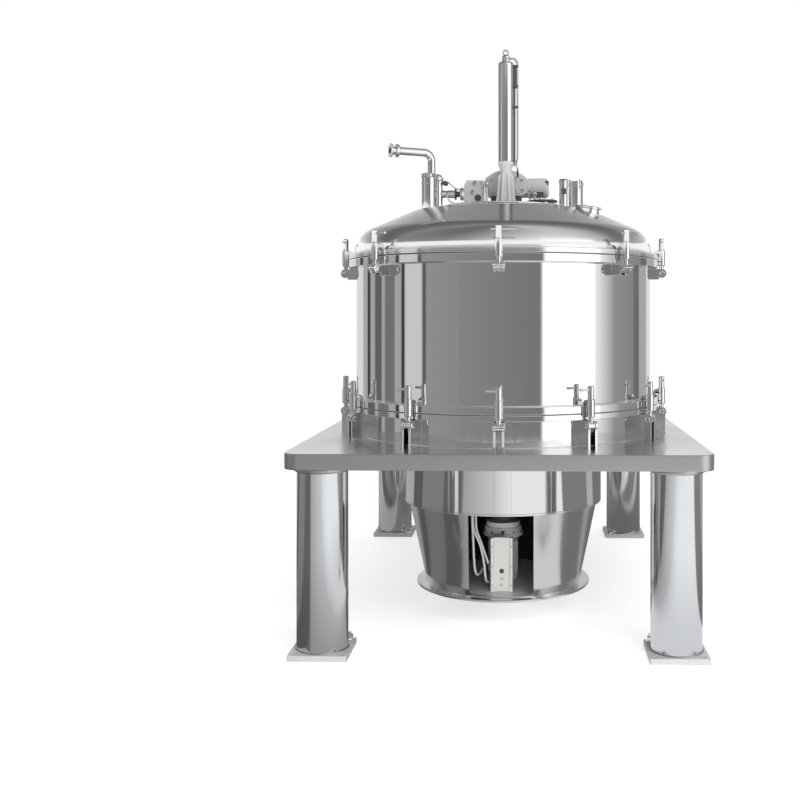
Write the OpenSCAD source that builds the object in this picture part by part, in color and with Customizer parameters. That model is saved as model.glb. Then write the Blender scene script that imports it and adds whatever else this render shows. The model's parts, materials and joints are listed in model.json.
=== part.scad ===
// Industrial centrifuge: a flat platform on four legs carries a round steel casing with a
// dished lid. The drive housing hangs under the platform. Millimetres, ground level at z = 0,
// origin under the middle of the platform, front towards -Y.

/* [Platform] */
// Width of the platform, left to right
platform_w = 1800; // [1720:5:2200]
// Length of the platform, front to back
platform_l = 2650; // [2300:5:3200]
// Height of the platform's top above the ground
platform_top = 868; // [840:1:1200]
// Thickness of the whole platform
platform_t = 68; // [50:1:120]
// Radius of the platform's corners
platform_corner_r = 70; // [20:1:90]
// Thickness of the deck plate
deck_t = 12; // [6:1:20]
// Thickness of the plate that closes the platform from below
under_t = 8; // [4:1:16]
// Thickness of the band around the platform's edge
edge_t = 12; // [5:1:20]

/* [Legs and feet] */
// Outer diameter of a leg
leg_d = 219; // [160:1:240]
// Wall of a leg
leg_wall = 8; // [5:1:16]
// Distance from the platform's side edge to a leg's axis
leg_side = 145; // [130:1:200]
// Distance from the platform's front or back edge to a leg's axis
leg_end = 145; // [130:1:250]
// Diameter of the collar at a leg's top
collar_d = 248; // [245:1:258]
// Thickness of the collar
collar_t = 16; // [8:1:30]
// Side of a square foot plate
foot_w = 250; // [244:1:258]
// Thickness of a foot plate
foot_t = 25; // [15:1:40]
// Distance between the anchor holes of a foot plate
anchor_pitch = 196; // [190:1:204]
// Diameter of an anchor hole
anchor_d = 22; // [14:1:26]

/* [Casing] */
// Distance from the platform's front edge back to the casing's axis
casing_back = 917; // [900:1:1150]
// Outer radius of the casing's wall
casing_r = 731; // [700:1:760]
// Thickness of the casing's wall
casing_wall = 8; // [5:1:14]
// How far the flanges stand out from the casing's wall
flange_out = 38; // [30:1:44]
// How far the flanges reach inward from the casing's wall
flange_in = 18; // [14:1:30]
// Height of the base ring's wall under its flange
base_wall_h = 118; // [110:1:200]
// Thickness of the base ring's flange
base_flange_t = 26; // [16:1:36]
// Thickness of a flange gasket
gasket_t = 3; // [2:0.5:6]
// Thickness of the casing's lower flange
low_flange_t = 34; // [20:1:40]
// Height of the casing between the undersides of its flanges
casing_h = 660; // [500:5:900]
// Thickness of the casing's upper flange
top_flange_t = 37; // [20:1:40]

/* [Lid] */
// Thickness of the lid's flange
lid_flange_t = 24; // [16:1:40]
// How far the lid's straight edge stands out from the casing's wall
lid_out = 9; // [4:1:12]
// Height of the lid's straight edge above its flange
lid_straight = 10; // [4:1:30]
// Radius of the lid's knuckle
knuckle_r = 123; // [90:1:140]
// Slope of the lid's conical flank in degrees
flank_slope = 24.2; // [20:0.1:28]
// Radius at which the flank meets the crown
crown_edge_r = 455; // [440:1:480]
// Length along the lid over which the flank bends into the crown
crown_bend = 60; // [20:1:90]
// Radius of the lid's crown
crown_r = 2690; // [2400:10:3200]
// Thickness of the lid
lid_t = 8; // [5:1:12]
// Radius of the flat plate on top of the lid
top_plate_r = 308; // [290:1:330]
// Thickness of the flat plate on top of the lid
top_plate_t = 8; // [5:1:24]

/* [Drive housing] */
// Outer radius of the drum under the platform
drum_r = 490; // [470:1:520]
// Height of the drum
drum_h = 265; // [200:1:300]
// Outer radius of the cone at its top
cone_top_r = 470; // [450:1:475]
// Outer radius of the cone at its bottom
cone_low_r = 384; // [340:1:400]
// Wall of the drum and the cone
drive_wall = 8; // [5:1:12]
// Radius of the base disc
base_disc_r = 430; // [405:1:450]
// Thickness of the base disc
base_disc_t = 12; // [8:1:20]
// Height of the base disc's underside above the ground
base_disc_z = 117; // [80:1:140]
// Width of the window in the cone
window_w = 302; // [240:1:340]
// Height of the window's sill above the base disc
window_sill = 6; // [4:1:40]
// Radius of the window's lower corners
window_corner_r = 22; // [5:1:40]

/* [Drive] */
// Diameter of the spindle's tube
spindle_d = 130; // [100:1:180]
// Diameter of the bearing housing
bearing_d = 198; // [185:1:240]
// Height of the bearing housing
bearing_h = 76; // [60:1:90]
// Diameter of the drive motor
motor_d = 150; // [140:1:180]
// Height of the drive motor
motor_h = 212; // [180:1:230]
// Width of the channel cover
cover_w = 104; // [90:1:130]
// Height of the channel cover
cover_h = 256; // [200:1:280]
// Depth of the channel cover
cover_depth = 50; // [40:1:60]
// Width of the channel cover's flanges
cover_flange = 16; // [10:1:20]
// Thickness of the channel cover's web
cover_web = 6; // [4:1:10]
// Distance from the casing's axis forward to the channel cover's face
cover_front = 290; // [270:1:300]
// Diameter of a hose
hose_d = 11; // [8:1:14]

/* [Clamps] */
// Number of clamps around the lid
lid_clamps = 8; // [8:1:8]
// Number of clamps around the base
base_clamps = 12; // [12:1:12]
// Distance from a flange's rim out to a clamp's pin
pin_out = 26; // [26:1:32]
// Height from a clamp's pin up to its seat on the flange
seat_h = 86; // [80:1:95]
// Diameter of a clamp's pin
pin_d = 16; // [12:1:18]
// Radial clearance of a clamp on its pin
pin_fit = 0.05; // [0.02:0.01:0.1]
// Thickness of one ear of a lug
ear_t = 12; // [8:1:14]
// Diameter of an ear around its pin
ear_d = 44; // [36:1:46]
// Diameter of a pin's head
pin_head_d = 26; // [22:1:30]
// Thickness of a pin's head
pin_head_t = 4; // [3:1:6]
// Side clearance of a clamp between its ears
ear_gap = 0.3; // [0.2:0.1:0.5]
// Diameter of a clamp's eye and the width between the ears
eye_d = 34; // [30:1:36]
// Width of a clamp's eye
eye_w = 24; // [22:1:26]
// Diameter of a clamp's stem
stem_d = 22; // [18:1:24]
// Diameter of a clamp's sleeve
sleeve_d = 36; // [30:1:40]
// Height of the sleeve's lower end above the pin
sleeve_low = 36; // [34:1:50]
// Height of the sleeve's upper end above the pin
sleeve_high = 118; // [115:1:130]
// Height of the clamp's top above the pin
clamp_h = 175; // [160:1:190]
// Diameter of the clamp's screw at the top
screw_d = 28; // [18:1:32]
// Height of the tee handle above the pin
handle_z = 157; // [135:1:165]
// Diameter of the tee handle
handle_d = 12; // [8:1:14]
// Length of a lid clamp's tee handle from the clamp's axis
lid_handle = 76; // [50:1:90]
// Length of that handle on its other side
lid_stub = 34; // [20:1:40]
// Length of a base clamp's tee handle from the clamp's axis
base_handle = 56; // [40:1:80]
// How far a claw reaches in from the flange's rim
claw_in = 21; // [14:1:22]
// Width of a claw
claw_w = 28; // [20:1:34]
// Thickness of a claw
claw_t = 26; // [16:1:30]

/* [Column] */
// Distance of the column to the right of the casing's axis
column_x = 14; // [0:1:30]
// Outer diameter of the column's tube
column_d = 79; // [60:1:90]
// Height of the column's tube
column_h = 503; // [400:1:600]
// Height of the ribbed stand under the column
stand_h = 229; // [180:1:240]
// Diameter of the stand's foot
stand_foot_d = 118; // [106:1:120]
// Diameter of the stand's core at the bottom
stand_low_d = 84; // [80:1:90]
// Diameter of the stand's core at the top
stand_core_d = 52; // [44:1:56]
// Number of ribs around the stand
stand_ribs = 10; // [6:1:12]
// Thickness of a rib
rib_t = 6; // [4:1:8]
// Diameter of the column's cap
cap_d = 42; // [34:1:50]
// Height of the column's cap
cap_h = 34; // [26:1:40]
// Outer diameter of the lifting eye on the cap
eye_ring_d = 34; // [28:1:40]
// Thickness of the lifting eye
eye_ring_t = 9; // [7:1:10]
// Diameter of the thin pipe beside the column
side_pipe_d = 11; // [8:1:14]
// Distance from the column's axis to the thin pipe's axis
side_pipe_out = 59; // [56:1:66]

/* [Fittings on the lid] */
// Width of the gear housing
gear_w = 218; // [190:1:230]
// Height of the gear housing
gear_h = 204; // [180:1:220]
// Radius of the gear housing's crowned top
gear_crown_r = 150; // [140:1:200]
// Height of the gear housing's body above the lid's plate
gear_base_h = 70; // [60:1:80]
// Length of the neck between the gear housing and its motor
gear_neck = 4; // [2:1:20]
// Depth of the gear housing
gear_depth = 130; // [110:1:150]
// Height of the gear motor's axis above the top plate
gear_axis_h = 115; // [80:1:130]
// Distance from the casing's axis back to the gear housing's middle
gear_back = 150; // [140:1:170]
// Diameter of the motor at the gear housing's side
gear_motor_d = 104; // [90:1:116]
// Length of the motor at the gear housing's side
gear_motor_l = 107; // [80:1:120]
// Width of the valve block
block_w = 100; // [80:1:110]
// Height of the valve block
block_h = 139; // [90:1:150]
// Depth of the valve block
block_depth = 70; // [50:1:80]
// Diameter of the wash nozzle
wash_nozzle_d = 70; // [62:1:90]
// Height of the wash nozzle's top above the top plate
wash_nozzle_h = 140; // [90:1:160]
// Outer diameter of the wash pipe
wash_pipe_d = 38; // [34:1:48]
// Wall of the wash pipe
wash_pipe_wall = 2.5; // [1.5:0.5:4]
// Distance of the wash pipe to the right of its nozzle's axis
wash_pipe_x = 13; // [0:1:14]
// Radius of the wash pipe's bend
wash_bend_r = 40; // [36:1:60]
// Height of the wash pipe's level run above the top plate
wash_run_h = 238; // [220:1:280]
// Length of the wash pipe's level run
wash_run_l = 168; // [120:1:300]
// Diameter of the ferrule at the wash pipe's open end
ferrule_d = 68; // [60:1:74]
// Thickness of the ferrule
ferrule_t = 14; // [8:1:20]
// Direction in which the wash pipe's level run points
wash_run_angle = 205; // [180:1:240]
// Diameter of the branch nozzle
branch_d = 44; // [36:1:46]
// Height of the branch nozzle's top above the top plate
branch_h = 110; // [80:1:120]
// Diameter of the sight glass nozzle
sight_d = 70; // [60:1:80]
// Height of the sight glass nozzle's top above the top plate
sight_h = 113; // [80:1:120]
// Diameter of the sight lamp
lamp_d = 40; // [30:1:42]
// Height of the sight lamp's top above the top plate
lamp_h = 121; // [90:1:130]
// Diameter of the hand hole's cover
hand_hole_d = 130; // [110:1:132]

/* [Hidden] */
$fn = 96;

// Overlap of a cutting body past the face that it cuts
cut = 1;
// Gap between faces of two bodies that only rest on each other
rest_gap = 0.3;

platform_under = platform_top - platform_t;
leg_x = platform_w / 2 - leg_side;
leg_y = platform_l / 2 - leg_end;
leg_places = [[-leg_x, -leg_y], [leg_x, -leg_y], [-leg_x, leg_y], [leg_x, leg_y]];
collar_z = platform_under - collar_t;
casing_y = casing_back - platform_l / 2;
flange_r = casing_r + flange_out;
flange_bore_r = casing_r - flange_in;
casing_bore_r = casing_r - casing_wall;

// Heights of the faces between the platform and the lid
base_flange_z = platform_top + base_wall_h;
base_gasket_z = base_flange_z + base_flange_t;
casing_z = base_gasket_z + gasket_t;
low_seat_z = casing_z + low_flange_t;
casing_top = casing_z + casing_h + top_flange_t;
lid_z = casing_top + gasket_t;
lid_seat_z = lid_z + lid_flange_t;
pin_r = flange_r + pin_out;
base_pin_z = low_seat_z - seat_h;
lid_pin_z = lid_seat_z - seat_h;

// Centres of the arcs of the lid's section and the place where its flank meets its crown
lid_r = casing_r + lid_out;
knuckle_z = lid_seat_z + lid_straight;
knuckle_x = lid_r - knuckle_r;
flank_low = [knuckle_x + knuckle_r * sin(flank_slope), knuckle_z + knuckle_r * cos(flank_slope)];
crown_edge_z = flank_low.y + tan(flank_slope) * (flank_low.x - crown_edge_r);
crown_z = crown_edge_z - sqrt(pow(crown_r, 2) - pow(crown_edge_r, 2));
crown_angle = asin(crown_edge_r / crown_r);
top_plate_z = crown_z + sqrt(pow(crown_r, 2) - pow(top_plate_r, 2));
lid_top = top_plate_z + top_plate_t;

// Heights of the faces under the platform
drum_z = platform_under - drum_h;
base_disc_top = base_disc_z + base_disc_t;
cone_h = drum_z - base_disc_top;
window_z = base_disc_top + window_sill;
bearing_z = base_disc_top + motor_h;

// Lowest places of the fittings on the lid, from the casing's axis
wash_place = [-352, -230];
branch_place = [-313, -165];
sight_place = [360, -118];
lamp_place = [298, -152];
hand_hole_place = [413, -252];
blind_place = [196, -105];
block_place = [-147, 36];
stud_places = [[-82, -24, 119], [158, -30, 66]];

// Rings of points on the lid's section, from the top plate out to the rim
function arc(x, z, r, from, to, steps) =
    [for (i = [0 : steps]) let (a = from + (to - from) * i / steps) [x + r * sin(a), z + r * cos(a)]];
function bend(a, b, c, steps) =
    [for (i = [0 : steps]) let (t = i / steps) pow(1 - t, 2) * a + 2 * t * (1 - t) * b + pow(t, 2) * c];
// The crown's arc, a short bend, then the straight flank and the knuckle's arc
function lid_line(inset) =
    let (
        middle = (crown_angle + flank_slope) / 2,
        edge = [crown_edge_r, crown_edge_z] - inset * [sin(middle), cos(middle)],
        crown_end = crown_angle - crown_bend / 2 / crown_r * 180 / PI,
        crown_points = arc(
            0, crown_z, crown_r - inset, acos((top_plate_z - crown_z) / (crown_r - inset)), crown_end, 5),
        flank = edge + crown_bend / 2 * [cos(flank_slope), -sin(flank_slope)]
    )
    concat(
        crown_points,
        [for (i = [1 : 5]) bend(crown_points[5], edge, flank, 5)[i]],
        arc(knuckle_x, knuckle_z, knuckle_r - inset, flank_slope, 90, 10)
    );
function reversed(points) = [for (i = [len(points) - 1 : -1 : 0]) points[i]];
// Height of the lid's outer face at a place
function dome_z(place) = norm(place) > crown_edge_r
    ? crown_edge_z - tan(flank_slope) * (norm(place) - crown_edge_r)
    : crown_z + sqrt(pow(crown_r, 2) - pow(norm(place), 2));

// Points of the three hoses, measured from the casing's axis at the base disc's top. Each hose
// hangs from the platform's underside. Two end at the motor and one at the channel cover.
hose_top = platform_under - base_disc_top;
motor_r = motor_d / 2 + 0.1;
hose_routes = [
    [[-128, -338, hose_top], [-128, -338, hose_top - 40], [-136, -340, 500], [-137, -340, 367],
        [-132, -340, 240], [-125, -336, 122], [-110, -290, 84], [-84, -180, 104],
        [-0.6 * (motor_r + 30), -0.8 * (motor_r + 30), 110], [-0.6 * motor_r, -0.8 * motor_r, 110]],
    [[-112, -316, hose_top], [-112, -316, hose_top - 40], [-124, -318, 480], [-134, -320, 324],
        [-99, -320, 224], [-82, -318, 140], [-76, -312, 77], [-68, -270, 44], [-50, -180, 36],
        [-0.28 * (motor_r + 30), -0.96 * (motor_r + 30), 36], [-0.28 * motor_r, -0.96 * motor_r, 36]],
    [[-92, -296, hose_top], [-92, -296, hose_top - 40], [-108, -298, 480], [-122, -300, 324],
        [-94, -298, 230], [-72, -286, 160],
        [-cover_w / 2 - hose_d / 2 - rest_gap, -cover_front + 28, 118]],
];
hose_sides = 10;
hose_steps = 3;

function unit(v) = v / norm(v);
// Points of a smooth curve that runs through each of the route's points
function smooth_point(a, b, c, d, t) = 0.5 * (2 * b + (c - a) * t + (2 * a - 5 * b + 4 * c - d) * pow(t, 2)
    + (3 * b - a - 3 * c + d) * pow(t, 3));
function smooth_line(route) = let (last = len(route) - 1) concat(
    [
        for (i = [0 : last - 1]) for (k = [0 : hose_steps - 1]) smooth_point(
            route[max(i - 1, 0)], route[i], route[i + 1], route[min(i + 2, last)], k / hose_steps)
    ],
    [route[last]]
);
// Ring of points around a hose whose direction is never straight along X
function hose_ring(centre, along) = let (side = unit(cross(along, [1, 0, 0])), up = cross(along, side))
    [for (k = [0 : hose_sides - 1]) let (a = k * 360 / hose_sides)
        centre + hose_d / 2 * (cos(a) * side + sin(a) * up)];

module at_axis(z = 0) {
    translate([0, casing_y, z]) children();
}

module ring(r_out, r_in, h) {
    difference() {
        cylinder(r = r_out, h = h);
        translate([0, 0, -cut]) cylinder(r = r_in, h = h + 2 * cut);
    }
}

module rounded_plate(w, l, r, h) {
    linear_extrude(h)
        union() {
            square([w - 2 * r, l], center = true);
            square([w, l - 2 * r], center = true);
            for (x = [-1, 1]) {
                for (y = [-1, 1]) translate([x * (w / 2 - r), y * (l / 2 - r)]) circle(r);
            }
        }
}

module platform_plate(z, inset, h) {
    translate([0, 0, z])
        rounded_plate(platform_w - 2 * inset, platform_l - 2 * inset, platform_corner_r - inset, h);
}

module platform_deck() {
    color("gainsboro") platform_plate(platform_top - deck_t, 0, deck_t);
}

module platform_edge() {
    color("silver") difference() {
        platform_plate(platform_under, 0, platform_t - deck_t);
        platform_plate(platform_under - cut, edge_t, platform_t - deck_t + 2 * cut);
    }
}

module platform_core() {
    color("dimgray") platform_plate(platform_under + under_t, edge_t, platform_t - deck_t - under_t);
}

module platform_underplate() {
    color("silver") platform_plate(platform_under, edge_t, under_t);
}

module leg(index) {
    color("lightgray") translate([leg_places[index].x, leg_places[index].y, 0]) {
        translate([0, 0, foot_t]) ring(leg_d / 2, leg_d / 2 - leg_wall, collar_z - foot_t);
        translate([0, 0, collar_z]) cylinder(d = collar_d, h = collar_t);
    }
}

module foot_plates() {
    color("silver") for (place = leg_places) translate([place.x, place.y, 0]) difference() {
        translate([-foot_w / 2, -foot_w / 2, 0]) cube([foot_w, foot_w, foot_t]);
        for (x = [-1, 1]) {
            for (y = [-1, 1])
                translate([x * anchor_pitch / 2, y * anchor_pitch / 2, -cut])
                    cylinder(d = anchor_d, h = foot_t + 2 * cut);
        }
    }
}

module drive_housing_drum() {
    color("silver") at_axis(drum_z) ring(drum_r, drum_r - drive_wall, drum_h);
}

// Section of the cone, with a ring at its top that fills the step up to the drum
module cone_section() {
    polygon([
        [cone_low_r - drive_wall, 0],
        [cone_low_r, 0],
        [cone_top_r, cone_h - drive_wall],
        [drum_r, cone_h - drive_wall],
        [drum_r, cone_h],
        [cone_top_r - drive_wall, cone_h],
    ]);
}

module window_cut() {
    top = cone_h - drive_wall + base_disc_top;
    half = window_w / 2;
    translate([0, 0, window_z]) rotate([90, 0, 0]) linear_extrude(cone_top_r + drum_r) {
        translate([-half, window_corner_r]) square([window_w, top - window_z - window_corner_r]);
        translate([-half + window_corner_r, 0]) square([window_w - 2 * window_corner_r, window_corner_r]);
        for (x = [-1, 1]) translate([x * (half - window_corner_r), window_corner_r]) circle(window_corner_r);
    }
}

module drive_housing_cone() {
    color("silver") at_axis() difference() {
        translate([0, 0, base_disc_top]) rotate_extrude($fn = 128) cone_section();
        window_cut();
    }
}

module drive_housing_base() {
    color("silver") at_axis(base_disc_z) cylinder(r = base_disc_r, h = base_disc_t);
}

module spindle_tube() {
    z = bearing_z + bearing_h;
    color("dimgray") at_axis(z) cylinder(d = spindle_d, h = platform_under - z);
}

module bearing_housing() {
    color("silver") at_axis(bearing_z) cylinder(d = bearing_d, h = bearing_h);
}

module drive_motor() {
    color("gray") at_axis(base_disc_top) cylinder(d = motor_d, h = motor_h);
}

// Channel that stands on the base disc, with its web behind the faces of its flanges
module channel_cover() {
    chamfer = 14;
    hole_z = 96;
    hole_d = 24;
    color("lightgray") at_axis(base_disc_top) translate([-cover_w / 2, -cover_front, 0]) difference() {
        union() {
            cube([cover_flange, cover_depth, cover_h]);
            translate([cover_w - cover_flange, 0, 0]) cube([cover_flange, cover_depth, cover_h]);
            translate([0, cover_flange, 0]) cube([cover_w, cover_web, cover_h]);
        }
        translate([cover_w / 2, -cut, hole_z]) rotate([-90, 0, 0]) cylinder(d = hole_d, h = cover_depth);
        for (x = [0, cover_w])
            translate([x, -cut, cover_h]) rotate([-90, 0, 0])
                cylinder(r = chamfer * 1.5, h = cover_depth + 2 * cut, $fn = 4);
    }
}

// Tube swept along a smooth curve through the route's points
module hose(route) {
    line = smooth_line(route);
    last = len(line) - 1;
    end = len(route) - 1;
    inner = [for (i = [1 : last - 1]) line[i + 1] - line[i - 1]];
    along = concat([route[1] - route[0]], inner, [route[end] - route[end - 1]]);
    rings = [for (i = [0 : last]) hose_ring(line[i], unit(along[i]))];
    sides = [
        for (i = [0 : last - 1]) for (k = [0 : hose_sides - 1]) let (next = (k + 1) % hose_sides)
            [[i, k], [i, next], [i + 1, next], [i + 1, k]] * [hose_sides, 1]
    ];
    caps = [
        [for (k = [hose_sides - 1 : -1 : 0]) k],
        [for (k = [0 : hose_sides - 1]) last * hose_sides + k],
    ];
    polyhedron(points = [for (ring = rings) each ring], faces = concat(sides, caps));
}

module lube_hoses() {
    color("whitesmoke") at_axis(base_disc_top) for (route = hose_routes) hose(route);
}

module base_ring() {
    color("silver") at_axis(platform_top) rotate_extrude($fn = 128) polygon([
        [casing_bore_r, 0],
        [casing_r, 0],
        [casing_r, base_wall_h],
        [flange_r, base_wall_h],
        [flange_r, base_wall_h + base_flange_t],
        [flange_bore_r, base_wall_h + base_flange_t],
        [flange_bore_r, base_wall_h],
        [casing_bore_r, base_wall_h],
    ]);
}

module gaskets() {
    color("dimgray") for (z = [base_gasket_z, casing_top]) at_axis(z) ring(flange_r, flange_bore_r, gasket_t);
}

module casing_shell() {
    color("lightgray") at_axis(low_seat_z) ring(casing_r, casing_bore_r, casing_h - low_flange_t, $fn = 128);
}

module casing_flanges() {
    color("lightgray") {
        at_axis(casing_z) ring(flange_r, flange_bore_r, low_flange_t, $fn = 128);
        at_axis(casing_z + casing_h) ring(flange_r, flange_bore_r, top_flange_t, $fn = 128);
    }
}

// Pair of ears with the pin between them. The ears run from the wall out to the pin, and
// the outline's other points give the height of their foot under the pin.
module lug(foot_h, foot_out) {
    gap = eye_w / 2 + ear_gap;
    rotate([90, 0, 0]) {
        for (side = [-1, 1])
            translate([0, 0, side * (gap + ear_t / 2)]) linear_extrude(ear_t, center = true) {
            translate([pin_r, 0]) circle(d = ear_d);
            polygon([
                [casing_r - casing_wall / 2, -foot_h],
                [pin_r + foot_out, -foot_h],
                [pin_r + foot_out, 0],
                [pin_r, ear_d / 2],
                [casing_r - casing_wall / 2, ear_d / 2],
            ]);
        }
        translate([pin_r, 0, 0]) {
            cylinder(d = pin_d, h = 2 * (gap + ear_t), center = true);
            for (side = [-1, 1])
                translate([0, 0, side * (gap + ear_t + pin_head_t / 2)])
                    cylinder(d = pin_head_d, h = pin_head_t, center = true);
        }
    }
}

module lug_ring(count, pin_z, foot_h, foot_out) {
    at_axis(pin_z) difference() {
        for (i = [0 : count - 1]) rotate(i * 360 / count - 90) lug(foot_h, foot_out);
        translate([0, 0, -foot_h - cut]) cylinder(r = casing_r, h = foot_h + ear_d, $fn = 128);
    }
}

module base_lugs() {
    color("silver") lug_ring(base_clamps, base_pin_z, base_pin_z - platform_top, ear_d / 2 - 6);
}

module casing_lugs() {
    color("silver") lug_ring(lid_clamps, lid_pin_z, ear_d / 2 + 8, -ear_d / 3);
}

module lid_dome() {
    section = concat(
        lid_line(0),
        [
            [lid_r, lid_seat_z],
            [flange_r, lid_seat_z],
            [flange_r, lid_z],
            [flange_bore_r, lid_z],
            [flange_bore_r, lid_seat_z],
            [lid_r - lid_t, lid_seat_z],
        ],
        reversed(lid_line(lid_t))
    );
    color("silver") at_axis() rotate_extrude($fn = 128) polygon(section);
}

module lid_top_plate() {
    color("lightgray") at_axis(top_plate_z) cylinder(r = top_plate_r, h = top_plate_t);
}

// A swing clamp standing on its pin at the origin, with the casing towards -X
module swing_clamp(handle, stub, handle_side) {
    difference() {
        union() {
            rotate([90, 0, 0]) cylinder(d = eye_d, h = eye_w, center = true);
            cylinder(d = stem_d, h = sleeve_low + cut);
            translate([0, 0, sleeve_low]) cylinder(d = sleeve_d, h = sleeve_high - sleeve_low);
            translate([0, 0, sleeve_low]) cylinder(d = screw_d, h = clamp_h - sleeve_low);
            translate([-pin_out - claw_in, -claw_w / 2, seat_h + rest_gap])
                cube([pin_out + claw_in, claw_w, claw_t]);
            translate([0, -handle_side * stub, handle_z]) rotate([-90 * handle_side, 0, 0])
                cylinder(d = handle_d, h = handle + stub);
        }
        rotate([90, 0, 0]) cylinder(r = pin_d / 2 + pin_fit, h = eye_w + 2 * cut, center = true);
    }
}

module lid_clamp(index) {
    color("gainsboro") at_axis(lid_pin_z) rotate((index - 1) * 360 / lid_clamps - 90)
        translate([pin_r, 0, 0]) swing_clamp(lid_handle, lid_stub, 1);
}

module base_clamp(index) {
    color("gainsboro") at_axis(base_pin_z) rotate((index - 1) * 360 / base_clamps - 90)
        translate([pin_r, 0, 0]) swing_clamp(base_handle, screw_d / 2 - 4, -1);
}

module column_stand() {
    foot_t_low = 14;
    collar_h = 16;
    core_h = stand_h - foot_t_low - collar_h;
    color("lightgray") at_axis(lid_top) translate([column_x, 0, 0]) {
        cylinder(d = stand_foot_d, h = foot_t_low);
        translate([0, 0, foot_t_low]) cylinder(d1 = stand_low_d - 2 * rib_t, d2 = stand_core_d, h = core_h);
        for (i = [0 : stand_ribs - 1]) rotate(i * 360 / stand_ribs) translate([0, rib_t / 2, 0])
            rotate([90, 0, 0]) linear_extrude(rib_t) polygon([
                [0, foot_t_low - cut],
                [stand_low_d / 2 + 2 * rib_t, foot_t_low - cut],
                [stand_low_d / 2, foot_t_low + core_h / 3],
                [column_d / 2 - rib_t, foot_t_low + core_h + cut],
                [0, foot_t_low + core_h + cut],
            ]);
        translate([0, 0, stand_h - collar_h]) cylinder(d = column_d, h = collar_h);
    }
}

module column_tube() {
    shoulder = 14;
    color("lightgray") at_axis(lid_top + stand_h) translate([column_x, 0, 0])
        rotate_extrude() {
            square([column_d / 2, column_h - shoulder]);
            translate([0, column_h - shoulder]) square([column_d / 2 - shoulder, shoulder]);
            translate([column_d / 2 - shoulder, column_h - shoulder]) intersection() {
                circle(shoulder);
                square(shoulder);
            }
        }
}

module column_cap() {
    ring_r = eye_ring_d / 2 - eye_ring_t / 2;
    color("silver") at_axis(lid_top + stand_h + column_h) translate([column_x, 0, 0]) {
        cylinder(d = cap_d, h = cap_h);
        translate([0, 0, cap_h + ring_r]) rotate([90, 0, 0])
            rotate_extrude() translate([ring_r, 0]) circle(d = eye_ring_t, $fn = 24);
    }
}

// Thin pipe that runs down beside the column, with its clips and its lower fitting
module column_side_pipe() {
    reach = side_pipe_out - column_d / 2;
    low = lid_top + stand_h - 40;
    top = lid_top + stand_h + column_h - 18;
    cap_mid = lid_top + stand_h + column_h + cap_h / 2;
    color("silver") at_axis() translate([column_x, 0, 0]) {
        translate([side_pipe_out, 0, low]) cylinder(d = side_pipe_d, h = cap_mid - low, $fn = 32);
        translate([cap_d / 2, 0, cap_mid]) rotate([0, 90, 0])
            cylinder(d = side_pipe_d, h = side_pipe_out - cap_d / 2, $fn = 32);
        translate([side_pipe_out, 0, cap_mid]) sphere(d = side_pipe_d, $fn = 32);
        for (z = [top - 110, top - 10]) translate([column_d / 2, -7, z]) cube([reach, 14, 12]);
        translate([column_d / 2, 0, low + 30]) rotate([0, 90, 0]) cylinder(d = 14, h = reach, $fn = 32);
        translate([side_pipe_out, 0, low + 8]) cylinder(d = 18, h = 44, $fn = 6);
    }
}

module gear_housing() {
    foot_h = 14;
    foot_w = gear_w - 22;
    base_w = gear_w - 60;
    base_depth = gear_depth - 20;
    color("silver") at_axis(lid_top) translate([column_x, gear_back, 0]) {
        rotate([90, 0, 0]) linear_extrude(gear_depth, center = true) intersection() {
            translate([-gear_w / 2, gear_base_h]) square([gear_w, gear_h - gear_base_h]);
            translate([0, gear_h - gear_crown_r]) circle(gear_crown_r, $fn = 128);
        }
        translate([-base_w / 2, -base_depth / 2, 0]) cube([base_w, base_depth, gear_base_h + cut]);
        translate([0, 0, gear_axis_h]) rotate([0, 90, 0])
            cylinder(d = gear_motor_d - 8, h = gear_w / 2 + gear_neck);
        translate([-foot_w / 2, -gear_depth / 2 - 8, 0]) cube([foot_w, gear_depth + 16, foot_h]);
    }
}

module gear_motor() {
    end_t = 16;
    start = column_x + gear_w / 2 + gear_neck;
    color("silver") at_axis(lid_top + gear_axis_h) translate([start, gear_back, 0]) rotate([0, 90, 0]) {
        cylinder(d = gear_motor_d, h = gear_motor_l - end_t);
        translate([0, 0, gear_motor_l - end_t]) cylinder(d1 = gear_motor_d, d2 = gear_motor_d - 22, h = end_t);
    }
}

module valve_block() {
    chamfer = 26;
    color("gray") at_axis(lid_top) translate([block_place.x, block_place.y + block_depth / 2, 0])
        rotate([90, 0, 0]) linear_extrude(block_depth) polygon([
            [-block_w / 2, 0],
            [block_w / 2, 0],
            [block_w / 2, block_h],
            [-block_w / 2 + chamfer / 2, block_h],
            [-block_w / 2, block_h - chamfer],
        ]);
}

module guide_studs() {
    color("silver") for (stud = stud_places) at_axis(lid_top) translate([stud.x, stud.y, 0]) {
        cylinder(d = 24, h = 8, $fn = 6);
        cylinder(d = 12, h = stud.z, $fn = 32);
        translate([0, 0, stud.z]) sphere(d = 24, $fn = 32);
    }
}

module blind_plate() {
    color("dimgray") at_axis(lid_top) translate([blind_place.x, blind_place.y, 0]) {
        cylinder(d = 96, h = 14);
        translate([0, 0, 14]) cylinder(d = 150, h = 8);
    }
}

// Space under the lid's outer face
module under_lid() {
    middle = [[0, lid_seat_z], [0, top_plate_z]];
    rotate_extrude($fn = 128) polygon(concat(middle, lid_line(0), [[lid_r, lid_seat_z]]));
}

// Round stub that stands on the dome and follows its curve at the foot
module dome_stub(place, d, top_h) {
    low = dome_z(place) - 40;
    at_axis() difference() {
        translate([place.x, place.y, low]) cylinder(d = d, h = lid_top + top_h - low);
        under_lid();
    }
}

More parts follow.
